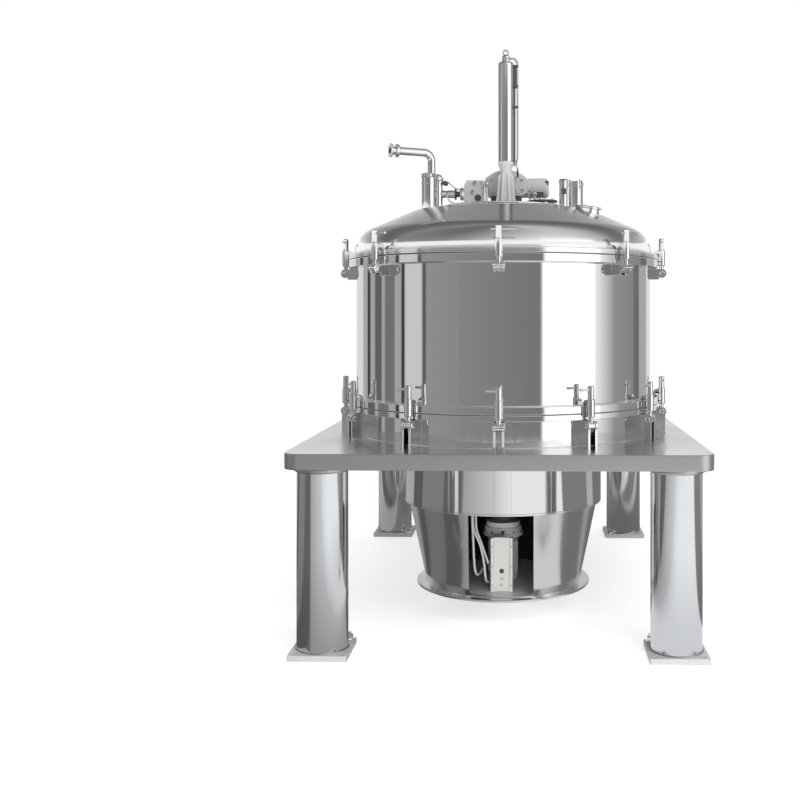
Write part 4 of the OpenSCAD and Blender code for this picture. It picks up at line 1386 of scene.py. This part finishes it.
    @staticmethod
    def walled(path: np.ndarray, radius: float, wall: float, sides: int = 64) -> Surface:
        """Pipe with a wall, from rings around a path in the XZ plane.

        The circle's axes are Y and the path's normal. Rings of the outer radius run forward and rings
        of the inner radius run back, and the two rows of ends close into each other.

        Args:
            path: Points of the centre line.
            radius: Outer radius.
            wall: Thickness of the wall.
            sides: Steps around the pipe.

        Returns:
            The closed surface.
        """
        along = unit(np.gradient(path, axis=0))
        first = np.broadcast_to(np.array([0.0, 1.0, 0.0]), path.shape)
        second = np.cross(along, first)
        angle = np.arange(sides) * FULL_TURN / sides
        spread = np.cos(angle)[None, :, None] * first[:, None] + np.sin(angle)[None, :, None] * second[:, None]
        rings = np.concatenate([path[:, None] + radius * spread, (path[:, None] + (radius - wall) * spread)[::-1]])
        return Surface.grid(rings, True, True)

    def branch(self) -> None:
        """Small nozzle with a ball body, its knob and lever, and a spool that ends in a ring."""
        low = self.foot(self.branch_place, 0.022)
        neck = cylinder(0.022, low, 0.103, 0.0005, 72)
        collar = cylinder(0.027, 0.102, 0.110, 0.0015, 72)
        body = ball((0, 0, 0.124), 0.022, 48)
        stem = spun([(0, 0), (0.009, 0), (0.009, 0.006), (0.005, 0.007), (0.005, 0.010), (0, 0.010)],
                    (0.018, -0.004, 0.120), (1, -0.2, 0), 0.0008, 32)
        knob = spun([(0, 0), (0.0125, 0), (0.0145, 0.005), (0.0145, 0.012), (0.011, 0.016), (0, 0.016)],
                    (0.034, -0.006, 0.094), (0.35, -0.6, 0.9), 0.001, 40)
        lever = tube(smooth_path([(0.036, -0.006, 0.104), (0.052, -0.010, 0.103), (0.078, -0.014, 0.080),
                                  (0.108, -0.016, 0.066)], 6), np.linspace(0.0038, 0.0026, 19), 20)
        spool = spun([(0, 0), (0.019, 0), (0.019, 0.030), (0.0165, 0.034), (0.0165, 0.044), (0.019, 0.048),
                      (0.019, 0.084), (0, 0.084)], (0, 0, 0.048), (1, 0, 0), 0.001, 64)
        disc = spun([(0, 0), (0.027, 0), (0.027, 0.0078), (0, 0.0078)], (0.082, 0, 0.048), (1, 0, 0), 0.001, 64)
        neck_ring = spun([(0, 0), (0.014, 0), (0.014, 0.020), (0, 0.020)], (0.089, 0, 0.048), (1, 0, 0), 0.001, 48)
        ring = spun([(0, 0), (0.029, 0), (0.031, 0.004), (0.031, 0.014), (0.029, 0.0178), (0.020, 0.0178),
                     (0.018, 0.012), (0, 0.012)], (0.108, 0, 0.048), (1, 0, 0), 0.001, 72)
        bracket = tube(smooth_path([(0.040, -0.018, 0.052), (0.048, -0.024, 0.030), (0.060, -0.024, 0.010),
                                    (0.078, -0.020, 0.004)], 5), 0.0035, 16)
        bright = [neck, collar, body, stem, lever, spool, ring, bracket]
        parts = [(piece, Finishes.FITTING) for piece in bright]
        parts += [(piece, Finishes.PAINT) for piece in (knob, disc, neck_ring)]
        self.put_on_lid("branch_valve", self.branch_place, parts)

    def sight(self) -> None:
        """Sight glass: nozzle, clamped ring with wing nuts, and the dark glass in its top."""
        low, top = self.foot(self.sight_place, 0.035), 0.113
        neck = cylinder(0.035, low, top - 0.021, 0.0005, 96)
        collar = turned_solid([(0, top - 0.022), (0.039, top - 0.022), (0.039, top - 0.0165), (0.0365, top - 0.016),
                               (0.0365, top - 0.014), (0.039, top - 0.0135), (0.039, top - 0.010),
                               (0, top - 0.010)], 0.0008, 96)
        head = ring_about([(0.026, 0), (0.035, 0), (0.035, 0.0105), (0.026, 0.0105)], 0.001, (0, 0, top - 0.0107),
                          (0, 0, 1), 96)
        glass = turned_solid([(0, top - 0.011), (0.0262, top - 0.011), (0.0262, top - 0.004), (0, top - 0.003)],
                              0.0005, 72)
        turns = (np.arange(4) + 0.35) * FULL_TURN / 4
        studs = [rod((0.0365 * math.cos(turn), 0.0365 * math.sin(turn), top - 0.038),
                     (0.0365 * math.cos(turn), 0.0365 * math.sin(turn), top + 0.009), 0.0042, 0.001, 24)
                 for turn in turns]
        parts = [(piece, Finishes.FITTING) for piece in (neck, collar, head, *studs)] + [(glass, Finishes.GLASS)]
        for angle in np.radians([-160, -95, -30, 30, 95, 160]):
            bolt = rod((0.0305, 0, top - 0.012), (0.0305, 0, top - 0.0002), 0.0025, 0.0005, 16)
            wing = block((0.027, -0.007, top - 0.006), (0.034, 0.007, top - 0.001), 0.0015)
            parts += [(around(piece, angle), Finishes.FITTING) for piece in (bolt, wing)]
        self.put_on_lid("sight_glass", self.sight_place, parts)

    def lamp(self) -> None:
        """Sight lamp: grey stub, bright band, dark cap and the black plate on its side."""
        low, top = self.foot(self.lamp_place, 0.020), 0.121
        stub = cylinder(0.020, low, top - 0.019, 0.0005, 72)
        band = cylinder(0.023, top - 0.020, top - 0.006, 0.0015, 72)
        cap = turned_solid([(0, top - 0.0065), (0.020, top - 0.0065), (0.020, top - 0.002), (0.016, top), (0, top)],
                           0.0008, 72)
        plate = block((-0.011, -0.0215, top - 0.074), (0.013, -0.0155, top - 0.046), 0.002)
        gland = spun([(0, 0), (0.006, 0), (0.006, 0.006), (0, 0.006)], (0.016, 0, top - 0.040), (1, 0, 0), 0.0008, 6)
        parts = [(stub, Finishes.FITTING), (band, Finishes.FITTING), (cap, Finishes.PAINT), (plate, Finishes.PAINT),
                 (gland, Finishes.FITTING)]
        self.put_on_lid("sight_lamp", self.lamp_place, parts)

    def hand_hole(self) -> None:
        """Hand hole cover that leans outward with the crown, with its seal and its bolts."""
        x, y = self.hand_place
        radius = math.hypot(x, y)
        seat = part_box("lid_dome")[0].z + self.lid.flange
        lean = math.asin(self.lid.crown_edge / self.lid.crown)
        slope = math.radians(self.lid.slope)
        meet = self.lid.heights(seat)[0]
        height = meet - max(radius - self.lid.crown_edge, 0) * math.tan(slope)
        neck = cylinder(0.0595, -0.019, 0.0095, 0.0005, 96)
        seal = cylinder(0.060, 0.0094, 0.0112, 0.0003, 96)
        disc = turned_solid([(0, 0.0110), (0.065, 0.0110), (0.065, 0.0185), (0.048, 0.0195), (0.044, 0.0218),
                             (0, 0.0222)], 0.0014, 128)
        bolts = self.bolt_circle(0.0565, 0.0182, 10, 0.0062)
        parts = [(neck, Finishes.FITTING), (seal, Finishes.RUBBER), (disc, Finishes.FITTING)]
        parts += [(bolt, Finishes.FITTING) for bolt in bolts]
        tilt = np.array([(math.cos(lean), 0, -math.sin(lean)), (0, 1, 0), (math.sin(lean), 0, math.cos(lean))])
        turned = [(around(surface.placed(np.zeros(3), tilt), math.atan2(y, x)), finish) for surface, finish in parts]
        raised = [(surface.moved((0, 0, height - self.datum.lid_top)), finish) for surface, finish in turned]
        self.put_on_lid("hand_hole_cover", self.hand_place, raised)


@dataclass
class DriveInside(SubAssembly):
    """What shows in the window of the drive housing: bearing, motor, channel cover and hoses."""

    floor: float = 0.129
    bearing: float = 0.099
    motor: float = 0.075
    cover_half: float = 0.052
    cover_web: float = 0.006
    cover_flange: float = 0.016
    cover_front: float = 0.290
    cover_back: float = 0.240
    cover_height: float = 0.256
    hose: float = 0.0055

    def build(self) -> None:
        """Makes each piece of the drive."""
        self.spindle()
        self.bearing_housing()
        self.drive_motor()
        self.channel_cover()
        self.hoses()

    def spindle(self) -> None:
        """Spindle tube with two grooves."""
        low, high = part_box("spindle_tube")
        r = (high.x - low.x) / 2
        line = [(0, low.z), (r, low.z), (r, low.z + 0.060), (r - 0.004, low.z + 0.064), (r - 0.004, low.z + 0.080),
                (r, low.z + 0.084), (r, high.z), (0, high.z)]
        self.put("spindle_tube", [(turned_solid(line, 0.001, 96), Finishes.PAINT)])

    def bearing_housing(self) -> None:
        """Bright bearing housing with a stepped flange, bolts around it and a dark block that paints the shade of an
        oil slot.
        """
        low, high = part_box("bearing_housing")
        r, z, top = self.bearing, low.z, high.z
        body = turned_solid([(0, z), (r - 0.006, z), (r - 0.006, z + 0.044), (r - 0.014, z + 0.050),
                             (r - 0.014, top - 0.004), (0, top)], 0.002, 128)
        flange = cylinder(r, z + 0.001, z + 0.020, 0.0025, 128)
        bolts = [hex_bolt((0.088 * math.cos(a), 0.088 * math.sin(a), z + 0.019), (0, 0, 1), 0.013)
                 for a in np.arange(10) * FULL_TURN / 10 + 0.31]
        # painted shade: a dark block a little proud of the housing stands for the shaded oil slot
        slot_shade_block = block((-0.008, -(r - 0.003), z + 0.028), (0.010, -(r - 0.012), z + 0.036), 0.0015)
        parts = [(body, Finishes.PALE), (flange, Finishes.PALE), (slot_shade_block, Finishes.PAINT)]
        parts += [(bolt, Finishes.FITTING) for bolt in bolts]
        self.put("bearing_housing", parts)

    def drive_motor(self) -> None:
        """Motor with upright cooling fins between its two end shields."""
        low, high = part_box("drive_motor")
        r, z, top = self.motor, low.z, high.z
        core = cylinder(r - 0.006, z, top, 0.001, 96)
        shields = [cylinder(r, a, b, 0.003, 96)
                   for a, b in ((z, z + 0.030), (top - 0.028, top))]
        fin = block((r - 0.008, -0.0013, z + 0.028), (r - 0.0004, 0.0013, top - 0.026), 0.0005, 1)
        fins = [around(fin, turn) for turn in np.arange(36) * FULL_TURN / 36]
        self.put("drive_motor", [(surface, Finishes.CAST) for surface in (core, *shields, *fins)])

    def channel_cover(self) -> None:
        """Pale sheet channel that stands in the window, with its hole and two screws.

        The channel is a slab whose outline follows the folded sheet seen from above. Its face carries
        a ring around the hole, and a dark disc just proud of the sheet is painted shade that stands for the dark
        inside of the hole.
        """
        half, sheet = self.cover_half, self.cover_web
        front, back, set_back = -self.cover_front, -self.cover_back, -self.cover_front + self.cover_flange
        wing = 0.014
        outline = [(-half, back), (-half, front), (-half + wing, front), (-half + wing, set_back),
                   (half - wing, set_back),
                   (half - wing, front), (half, front), (half, back), (half - sheet, back),
                   (half - sheet, set_back + sheet),
                   (-half + sheet, set_back + sheet), (-half + sheet, back)]
        channel = slab(rounded(np.array(outline), 0.0015, 2), self.cover_height, 0.0012, 2)
        channel = channel.moved((0, 0, self.floor + self.cover_height / 2))
        face = set_back
        hole_z = 0.225
        rim = ring_about([(0.0115, 0), (0.0145, 0), (0.0145, 0.0016), (0.0115, 0.0016)], 0.0004, (0, face, hole_z),
                         (0, -1, 0), 56)
        # painted shade: dark disc that stands for the shaded inside of the hole
        hole_shade_disc = spun([(0, 0), (0.012, 0), (0.012, 0.0008), (0, 0.0008)], (0, face, hole_z), (0, -1, 0), 0.0002, 48)
        screws = [hex_bolt((x, face, z), (0, -1, 0), 0.010) for x, z in ((0.001, 0.188), (-0.002, 0.158))]
        screws += [hex_bolt((side * (half - 0.007), front, z), (0, -1, 0), 0.007) for side in (-1, 1)
                   for z in (0.160, 0.250, 0.345)]
        parts = [(channel, Finishes.PALE), (rim, Finishes.PALE), (hole_shade_disc, Finishes.PAINT)]
        parts += [(screw, Finishes.CAST) for screw in screws]
        self.put("channel_cover", parts)

    def hoses(self) -> None:
        """Three hoses from the platform's underside past the channel, with bright end fittings."""
        parts = []
        for route in HOSE_ROUTES:
            points = np.asarray(route, float) * MM
            points[:, 2] = np.minimum(points[:, 2] + self.floor, self.datum.under)
            parts.append((tube(smooth_path(list(points), 8), self.hose, 28, (1, 0, 0)), Finishes.HOSE))
            for end, inner in ((points[0], points[1]), (points[-1], points[-2])):
                nut = rod(tuple(end), tuple(end + 0.022 * unit(inner - end)), 0.0078, 0.001, 6)
                parts.append((nut, Finishes.FITTING))
        self.put("lube_hoses", parts)


@dataclass
class DriveHousing(SubAssembly):
    """Drum and cone that hang under the platform, closed below by a disc."""

    drum: float = 0.490
    top: float = 0.470
    low: float = 0.384
    wall: float = 0.008
    disc: float = 0.430
    window: float = 0.302
    sill: float = 0.006
    corner: float = 0.022
    columns: int = 220
    rows: int = 40

    def build(self) -> None:
        """Makes the drum, the cone with its window, and the disc."""
        low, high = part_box("drive_housing_drum")
        inner = self.drum - self.wall
        section = [(inner, low.z), (self.drum, low.z), (self.drum, high.z), (inner, high.z)]
        drum = self.datum.at(lathe(rounded(np.array(section), 0.002), 256))
        self.maker.piece("drum_skin", [(drum, Finishes.CASING)], stands_for=("drive_housing_drum",))
        self.cone()
        low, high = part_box("drive_housing_base")
        disc = cylinder(self.disc, low.z, high.z, 0.003, 256)
        lining = cylinder(self.low - self.wall - 0.002, high.z - 0.001, high.z + 0.0004, 0.0002, 128)
        parts = [(self.datum.at(disc), Finishes.DECK), (self.datum.at(lining), Finishes.PALE)]
        self.maker.piece("base_disc_skin", parts, stands_for=("drive_housing_base",))

    def cone(self) -> None:
        """Conical shell with a window cut through its front.

        Between sill and lintel the shell is a grid over height and angle, and its angle runs from one
        window edge round the back to the other. The window's half width shrinks near the sill along
        its rounded corners.
        """
        low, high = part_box("drive_housing_cone")
        lintel = high.z - self.wall
        sill = low.z + self.sill

        def radius(z: np.ndarray) -> np.ndarray:
            """Outer radius at each height, on a straight line up to the lintel."""
            return self.low + (self.top - self.low) * (z - low.z) / (lintel - low.z)

        rise = np.linspace(0, 1, self.rows) ** 1.6
        z = sill + (lintel - sill) * rise
        bend = np.clip(self.corner - (z - sill), 0, self.corner)
        half = self.window / 2 - self.corner + np.sqrt(self.corner**2 - bend**2)
        share = np.linspace(0, 1, self.columns)
        layers = []
        for inset in (0.0, self.wall):
            r = radius(z) - inset
            start = np.arcsin(half / r)
            angle = -math.pi / 2 + start[:, None] + share[None] * (FULL_TURN - 2 * start[:, None])
            flat = r[:, None, None] * np.stack([np.cos(angle), np.sin(angle)], axis=-1)
            layers.append(np.concatenate([flat, np.broadcast_to(z[:, None, None], flat.shape[:2] + (1,))], axis=-1))
        outer, inner = layers
        rim = np.concatenate([outer, inner[:, ::-1]], axis=1)
        wall = Surface.grid(rim, False, True)
        ends = [Surface.grid(np.stack([outer[row], inner[row]]), False, False) for row in (0, -1)]
        shell = joined([wall, *ends])
        bottom = lathe(np.array([(self.low - self.wall, low.z), (self.low, low.z), (radius(sill), sill),
                                 (radius(sill) - self.wall, sill)]), 256)
        head = lathe(np.array([(self.top - self.wall, lintel), (self.drum, lintel), (self.drum, high.z),
                               (self.top - self.wall, high.z)]), 256)
        outside = Surface(shell.points, shell.quads, [])
        parts = [(self.datum.at(surface), Finishes.CONE) for surface in (outside, bottom, head)]
        self.maker.piece("cone_skin", parts, stands_for=("drive_housing_cone",))


@dataclass(frozen=True)
class Card:
    """Tall card or soft light around the machine that only polished steel mirrors.

    Args:
        start: Its left edge, in degrees from the front towards the right, seen from the machine.
        end: Its right edge.
        tone: Its brightness at its left edge, where 1 is white.
        drift: Change of its brightness from the left edge to the right one.
        soft: Width of its softened edges in degrees.
        top: How high it reaches, in degrees above the horizon.
        fade: Degrees above its top over which it ends.
    """

    start: float
    end: float
    tone: float
    drift: float = 0.0
    soft: float = 2.0
    top: float = 14.0
    fade: float = 6.0


@dataclass
class Studio:
    """Camera, pale floor, white surroundings, and the cards that the polished steel mirrors.

    The camera stands at `front` before the platform and `side` to its right. `bright_side` and `dark_side`
    hold the azimuth, the width in degrees and the strength of the ceiling's two bell curves.
    """

    datum: Datum
    front: float = 4.119
    eye: float = 1.440
    side: float = 0.121
    yaw: float = 1.37
    lens: tuple[float, float] = (45.0, 36.0)
    shift: tuple[float, float] = (-0.129, -0.105)
    surroundings: float = 0.75
    floor_glow: float = 0.55
    floor_disc: tuple[float, float] = (4.8, 0.02)
    far: float = 24.0
    walls: float = 0.45
    wall_top: tuple[float, float] = (14.0, 20.0)
    bright_side: tuple[float, float, float] = (62.0, 42.0, 0.9)
    dark_side: tuple[float, float, float] = (-45.0, 40.0, 0.50)
    cards: tuple[Card, ...] = (
        Card(-180.0, -134.0, 0.80), Card(-124.5, -119.5, 0.05), Card(-112.0, -102.5, 0.14), Card(-98.5, -87.0, 0.20),
        Card(-80.0, -76.5, 0.04), Card(-76.5, -60.5, 0.70), Card(-60.5, -57.0, 0.12), Card(-57.0, -32.0, 0.34, -0.04),
        Card(-32.0, 30.0, 0.29, -0.08), Card(30.0, 74.0, 1.50, 0.0, 4.0, 16.0, 16.0),
        Card(74.0, 92.0, 1.00, -0.62), Card(92.0, 118.0, 0.34, -0.06),
        Card(118.0, 128.0, 0.18), Card(146.0, 180.0, 0.80),
    )
    floor_base: float = 0.24
    floor_cards: tuple[Card, ...] = (
        Card(-148.0, -118.0, 0.45), Card(-118.0, -99.0, 0.12), Card(-66.0, -44.0, 0.14), Card(-42.0, -8.0, 0.42, 0.26),
        Card(-8.0, 10.0, 0.68, 0.30), Card(10.0, 68.0, 0.98), Card(108.0, 122.0, 0.50), Card(122.0, 180.0, 0.20),
    )
    floor_reach: tuple[float, ...] = (0.05, 0.8, 1.4, 1.8, 3.0, 7.5)
    floor_lift: float = 0.004
    # painted shadow: how dark the floor card gets near the machine, and the distances over which this fades out
    painted_shadow_tone: float = 0.75
    painted_shadow_reach: tuple[float, float] = (1.2, 3.0)
    ring_radius: float = 1.75
    ring_heights: tuple[float, float] = (1.835, 2.13)
    ring_tone: float = 1.12
    ceiling: tuple[tuple[float, float], ...] = (
        (0, 0.90), (20, 0.80), (30, 0.60), (45, 0.48), (60, 0.38), (92, 0.30), (106, 0.17), (126, 0.14), (136, 0.30),
        (146, 0.36), (168, 0.75), (180, 0.80),
    )

    def build(self) -> None:
        """Sets up everything around the machine."""
        self.camera()
        self.world()
        self.floor()
        self.hall()
        self.floor_card()
        self.ring_card()
        self.lamp("soft_lamp", (2.5, -4.5, 4.5), 1.2, 110.0, (3.0, 2.0))
        self.lamp("low_fill", (0.5, -4.2, 0.55), 0.35, 45.0, (1.6, 0.7))
        bpy.context.scene.view_settings.view_transform = "Standard"

    def camera(self) -> None:
        """Level camera at the photograph's place."""
        data = bpy.data.cameras.new("camera")
        data.lens, data.sensor_width = self.lens
        data.shift_x, data.shift_y = self.shift
        obj = bpy.data.objects.new("camera", data)
        obj.location = (self.side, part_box("platform_deck")[0].y - self.front, self.eye)
        obj.rotation_euler = (math.radians(90), 0, math.radians(self.yaw))
        bpy.context.scene.collection.objects.link(obj)
        bpy.context.scene.camera = obj

    def world(self) -> None:
        """White behind the machine and in its gloss; a plain level for everything that it lights."""
        world = bpy.data.worlds.new("white_surroundings")
        bpy.context.scene.world = world
        world.use_nodes = True
        tree = world.node_tree
        tree.nodes.clear()
        path = tree.nodes.new("ShaderNodeLightPath")
        seen = None
        for ray in ("Is Camera Ray", "Is Glossy Ray", "Is Transmission Ray"):
            if seen is None:
                seen = path.outputs[ray]
                continue
            either = tree.nodes.new("ShaderNodeMath")
            either.operation = "MAXIMUM"
            tree.links.new(seen, either.inputs[0])
            tree.links.new(path.outputs[ray], either.inputs[1])
            seen = either.outputs[0]
        plain, white = (tree.nodes.new("ShaderNodeBackground") for _ in range(2))
        plain.inputs[0].default_value = (0.98, 0.99, 1.0, 1.0)
        plain.inputs[1].default_value = self.surroundings
        white.inputs[0].default_value = (1.0, 1.0, 1.0, 1.0)
        mix = tree.nodes.new("ShaderNodeMixShader")
        out = tree.nodes.new("ShaderNodeOutputWorld")
        tree.links.new(seen, mix.inputs[0])
        tree.links.new(plain.outputs[0], mix.inputs[1])
        tree.links.new(white.outputs[0], mix.inputs[2])
        tree.links.new(mix.outputs[0], out.inputs[0])

    def floor(self) -> None:
        """Pale round floor that is white away from the machine's shadow, to the camera and in its gloss."""
        sheet = NodeSheet("pale_floor")
        cloud = sheet.noise((0.6, 0.6, 0.6), 3.0)
        tone = sheet.blended(cloud, (0.79, 0.79, 0.79, 1.0), (0.82, 0.82, 0.82, 1.0))
        matt = sheet.add("ShaderNodeBsdfPrincipled", Base_Color=tone, Roughness=0.9)
        glow = sheet.add("ShaderNodeEmission", Color=(1, 1, 1, 1), Strength=self.floor_glow)
        both = sheet.add("ShaderNodeAddShader", i0=matt.outputs[0], i1=glow.outputs[0])
        path = sheet.add("ShaderNodeLightPath")
        near = sheet.add("ShaderNodeMath", {"operation": "MAXIMUM"}, i0=path.outputs["Is Camera Ray"],
                         i1=path.outputs["Is Glossy Ray"])
        seen = sheet.add("ShaderNodeMath", {"operation": "MAXIMUM"}, i0=near.outputs[0],
                         i1=path.outputs["Is Transmission Ray"])
        mix = sheet.add("ShaderNodeMixShader", i0=seen.outputs[0], i1=matt.outputs[0], i2=both.outputs[0])
        radius, thick = self.floor_disc
        disc = lathe(np.array([(0, -thick), (radius, -thick), (radius, 0.0), (0, 0.0)]), 128, hollow=False)
        self.stand("floor", disc, sheet.finish(mix))

    def stand(self, name: str, surface: Surface, material: bpy.types.Material) -> bpy.types.Object:
        """Makes a piece of the studio, which isn't part of the machine.

        Args:
            name: Name of the object.
            surface: Its surface.
            material: Its material.

        Returns:
            The new object.
        """
        points, faces = weld(surface)
        mesh = bpy.data.meshes.new(name)
        mesh.from_pydata(points.tolist(), [], faces)
        mesh.materials.append(material)
        obj = bpy.data.objects.new(name, mesh)
        bpy.context.scene.collection.objects.link(obj)
        return obj

    def hall(self) -> None:
        """Shell around the machine that carries the cards' tones and shows only in reflections.

        A grid over azimuth and height above the horizon. Below the walls' top a point's tone is the
        wall's or its card's, with softened edges; higher up it follows the angle over the top from the
        front horizon, and in between the two are blended.
        """
        azimuth = np.radians(np.arange(-180, 180, 0.5))
        rise = np.radians(np.concatenate([[-16, -8], np.arange(0, 90.1, 2.0)]))
        a, e = np.meshgrid(azimuth, rise, indexing="ij")
        place = np.stack([np.cos(e) * np.sin(a), -np.cos(e) * np.cos(a), np.sin(e)], axis=-1)
        tone = self.tones(np.degrees(a), np.degrees(e), place)
        surface = Surface.grid(place * self.far + np.array([*self.datum.axis, self.eye]), True, False)
        self.mirrored("studio_cards", surface, tone)

    def floor_card(self) -> None:
        """Round card just above the floor that shows only in reflections, with its own tones by azimuth and a painted
        shadow that darkens it near the machine.
        """
        azimuth = np.radians(np.arange(-180, 180, 0.5))
        a, r = np.meshgrid(azimuth, np.array(self.floor_reach), indexing="ij")
        place = np.stack([r * np.sin(a), -r * np.cos(a), np.full_like(r, self.floor_lift)], axis=-1)
        turn = np.degrees(a)
        tone = np.full(turn.shape, self.floor_base)
        for card in self.floor_cards:
            tone = tone + (card.tone + card.drift * self.along(card, turn) - tone) * self.share(card, turn)
        # painted shadow: the card is darkened near the machine, where the machine's shadow falls on the floor
        tone = tone * (self.painted_shadow_tone + (1 - self.painted_shadow_tone) * self.ramp(r, *self.painted_shadow_reach))
        surface = Surface.grid(place + np.array([*self.datum.axis, 0.0]), True, False)
        self.mirrored("floor_card", surface, tone)

    def ring_card(self) -> None:
        """White ring around the lid, at the height where only the foot of the knuckle mirrors it."""
        azimuth = np.radians(np.arange(-180, 180, 3.0))
        a, z = np.meshgrid(azimuth, np.array(self.ring_heights), indexing="ij")
        place = np.stack([self.ring_radius * np.sin(a), -self.ring_radius * np.cos(a), z], axis=-1)
        surface = Surface.grid(place + np.array([*self.datum.axis, 0.0]), True, False)
        self.mirrored("ring_card", surface, np.full(z.shape, self.ring_tone))

    def mirrored(self, name: str, surface: Surface, tone: np.ndarray) -> None:
        """Makes a glowing sheet that only polished surfaces show; its tone is an attribute of its points.

        Args:
            name: Name of the sheet.
            surface: Its surface.
            tone: Brightness of each point.
        """
        mesh = bpy.data.meshes.new(name)
        mesh.from_pydata(surface.points.tolist(), [], surface.quads.tolist())
        mesh.attributes.new("tone", "FLOAT", "POINT").data.foreach_set("value", tone.astype(np.float32).ravel())
        sheet = NodeSheet(f"{name}_glow")
        level = sheet.add("ShaderNodeAttribute", {"attribute_name": "tone"})
        glow = sheet.add("ShaderNodeEmission", Color=(1, 1, 1, 1), Strength=level.outputs["Fac"])
        mesh.materials.append(sheet.finish(glow))
        obj = bpy.data.objects.new(name, mesh)
        bpy.context.scene.collection.objects.link(obj)
        for kind in ("camera", "diffuse", "transmission", "volume_scatter", "shadow"):
            setattr(obj, f"visible_{kind}", False)

    def along(self, card: Card, turn: np.ndarray) -> np.ndarray:
        """How far each azimuth lies along a card, from 0 to 1."""
        return np.clip((turn - card.start) / (card.end - card.start), 0, 1)

    def share(self, card: Card, turn: np.ndarray) -> np.ndarray:
        """How much of a card shows at each azimuth, with its softened edges; none are softened at the back.

        Args:
            card: The card.
            turn: Azimuths in degrees.

        Returns:
            Shares from 0 to 1.
        """
        half = card.soft / 2
        rise = self.ramp(turn, card.start - half, card.start + half) if card.start > -180 else 1.0
        fall = self.ramp(turn, card.end - half, card.end + half) if card.end < 180 else 0.0
        return rise * (1 - fall)

    def tones(self, turn: np.ndarray, rise: np.ndarray, place: np.ndarray) -> np.ndarray:
        """Tone at each point of the shell from its azimuth and height in degrees.

        Above the walls the tone is lifted on the bright side and lowered on the dark one, by bell
        curves of the azimuth.

        Args:
            turn: Azimuth of each point.
            rise: Its height above the horizon.
            place: Its direction.

        Returns:
            The tone of each point.
        """
        over = np.degrees(np.arctan2(place[..., 2], -place[..., 1]))
        (right, right_width, lift), (left, left_width, drop) = self.bright_side, self.dark_side
        bells = 1 + lift * np.exp(-(((turn - right) / right_width) ** 2))
        bells -= drop * np.exp(-(((turn - left) / left_width) ** 2))
        above = np.interp(over, *np.array(self.ceiling).T) * bells
        tone = self.walls + (above - self.walls) * self.ramp(rise, *self.wall_top)
        for card in self.cards:
            share = self.share(card, turn) * (1 - self.ramp(rise, card.top, card.top + card.fade))
            tone = tone + (card.tone + card.drift * self.along(card, turn) - tone) * share
        return tone

    @staticmethod
    def ramp(value: np.ndarray, low: float, high: float) -> np.ndarray:
        """Smooth step from 0 at the low value to 1 at the high one."""
        share = np.clip((value - low) / (high - low), 0, 1)
        return share**2 * (3 - 2 * share)

    def lamp(self, name: str, place: tuple, aim_height: float, power: float, size: tuple[float, float]) -> None:
        """Soft rectangular lamp aimed at the machine's axis; the cards stand for it in reflections.

        Args:
            name: Name of the lamp.
            place: Its place.
            aim_height: Height that it aims at.
            power: Its power in watts.
            size: Its width and height.
        """
        data = bpy.data.lights.new(name, "AREA")
        data.energy, data.size, data.size_y, data.shape = power, size[0], size[1], "RECTANGLE"
        lamp = bpy.data.objects.new(name, data)
        lamp.location = place
        aim = Vector((0, self.datum.axis[1], aim_height)) - Vector(place)
        lamp.rotation_euler = aim.to_track_quat("-Z", "Y").to_euler()
        lamp.visible_glossy = False
        bpy.context.scene.collection.objects.link(lamp)


# Points of the three hoses in millimetres, from the casing's axis and the base disc's top
HOSE_ROUTES = [
    [(-128, -338, 671), (-128, -338, 631), (-136, -340, 500), (-137, -340, 367), (-132, -340, 240), (-125, -336, 122),
     (-110, -290, 84), (-84, -180, 104), (-63.06, -84.08, 110), (-45.06, -60.08, 110)],
    [(-112, -316, 671), (-112, -316, 631), (-124, -318, 480), (-134, -320, 324), (-99, -320, 224), (-82, -318, 140),
     (-76, -312, 77), (-68, -270, 44), (-50, -180, 36), (-29.43, -100.9, 36), (-21.03, -72.1, 36)],
    [(-92, -296, 671), (-92, -296, 631), (-108, -298, 480), (-122, -300, 324), (-94, -298, 230), (-72, -286, 160),
     (-57.8, -262, 118)],
]


def main() -> None:
    """Builds the studio and every sub-assembly in order."""
    logging.basicConfig(level=logging.INFO)
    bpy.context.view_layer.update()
    datum = Datum.read()
    Studio(datum).build()
    maker = PieceMaker()
    casing = Casing(datum, maker)
    lid = Lid(datum, maker, casing)
    clamp = Clamp()
    Platform(datum, maker).build()
    casing.build()
    lid.build()
    ClampRing(datum, maker, clamp, "lid", "casing_lugs", 0.076, 0.034, 1, -0.0147).build()
    ClampRing(datum, maker, clamp, "base", "base_lugs", 0.056, 0.010, -1, 0.016).build()
    Column(datum, maker).build()
    LidFittings(datum, maker, lid).build()
    DriveHousing(datum, maker).build()
    DriveInside(datum, maker).build()
    LOG.info("%d pieces", maker.made)


if __name__ == "__main__":
    main()
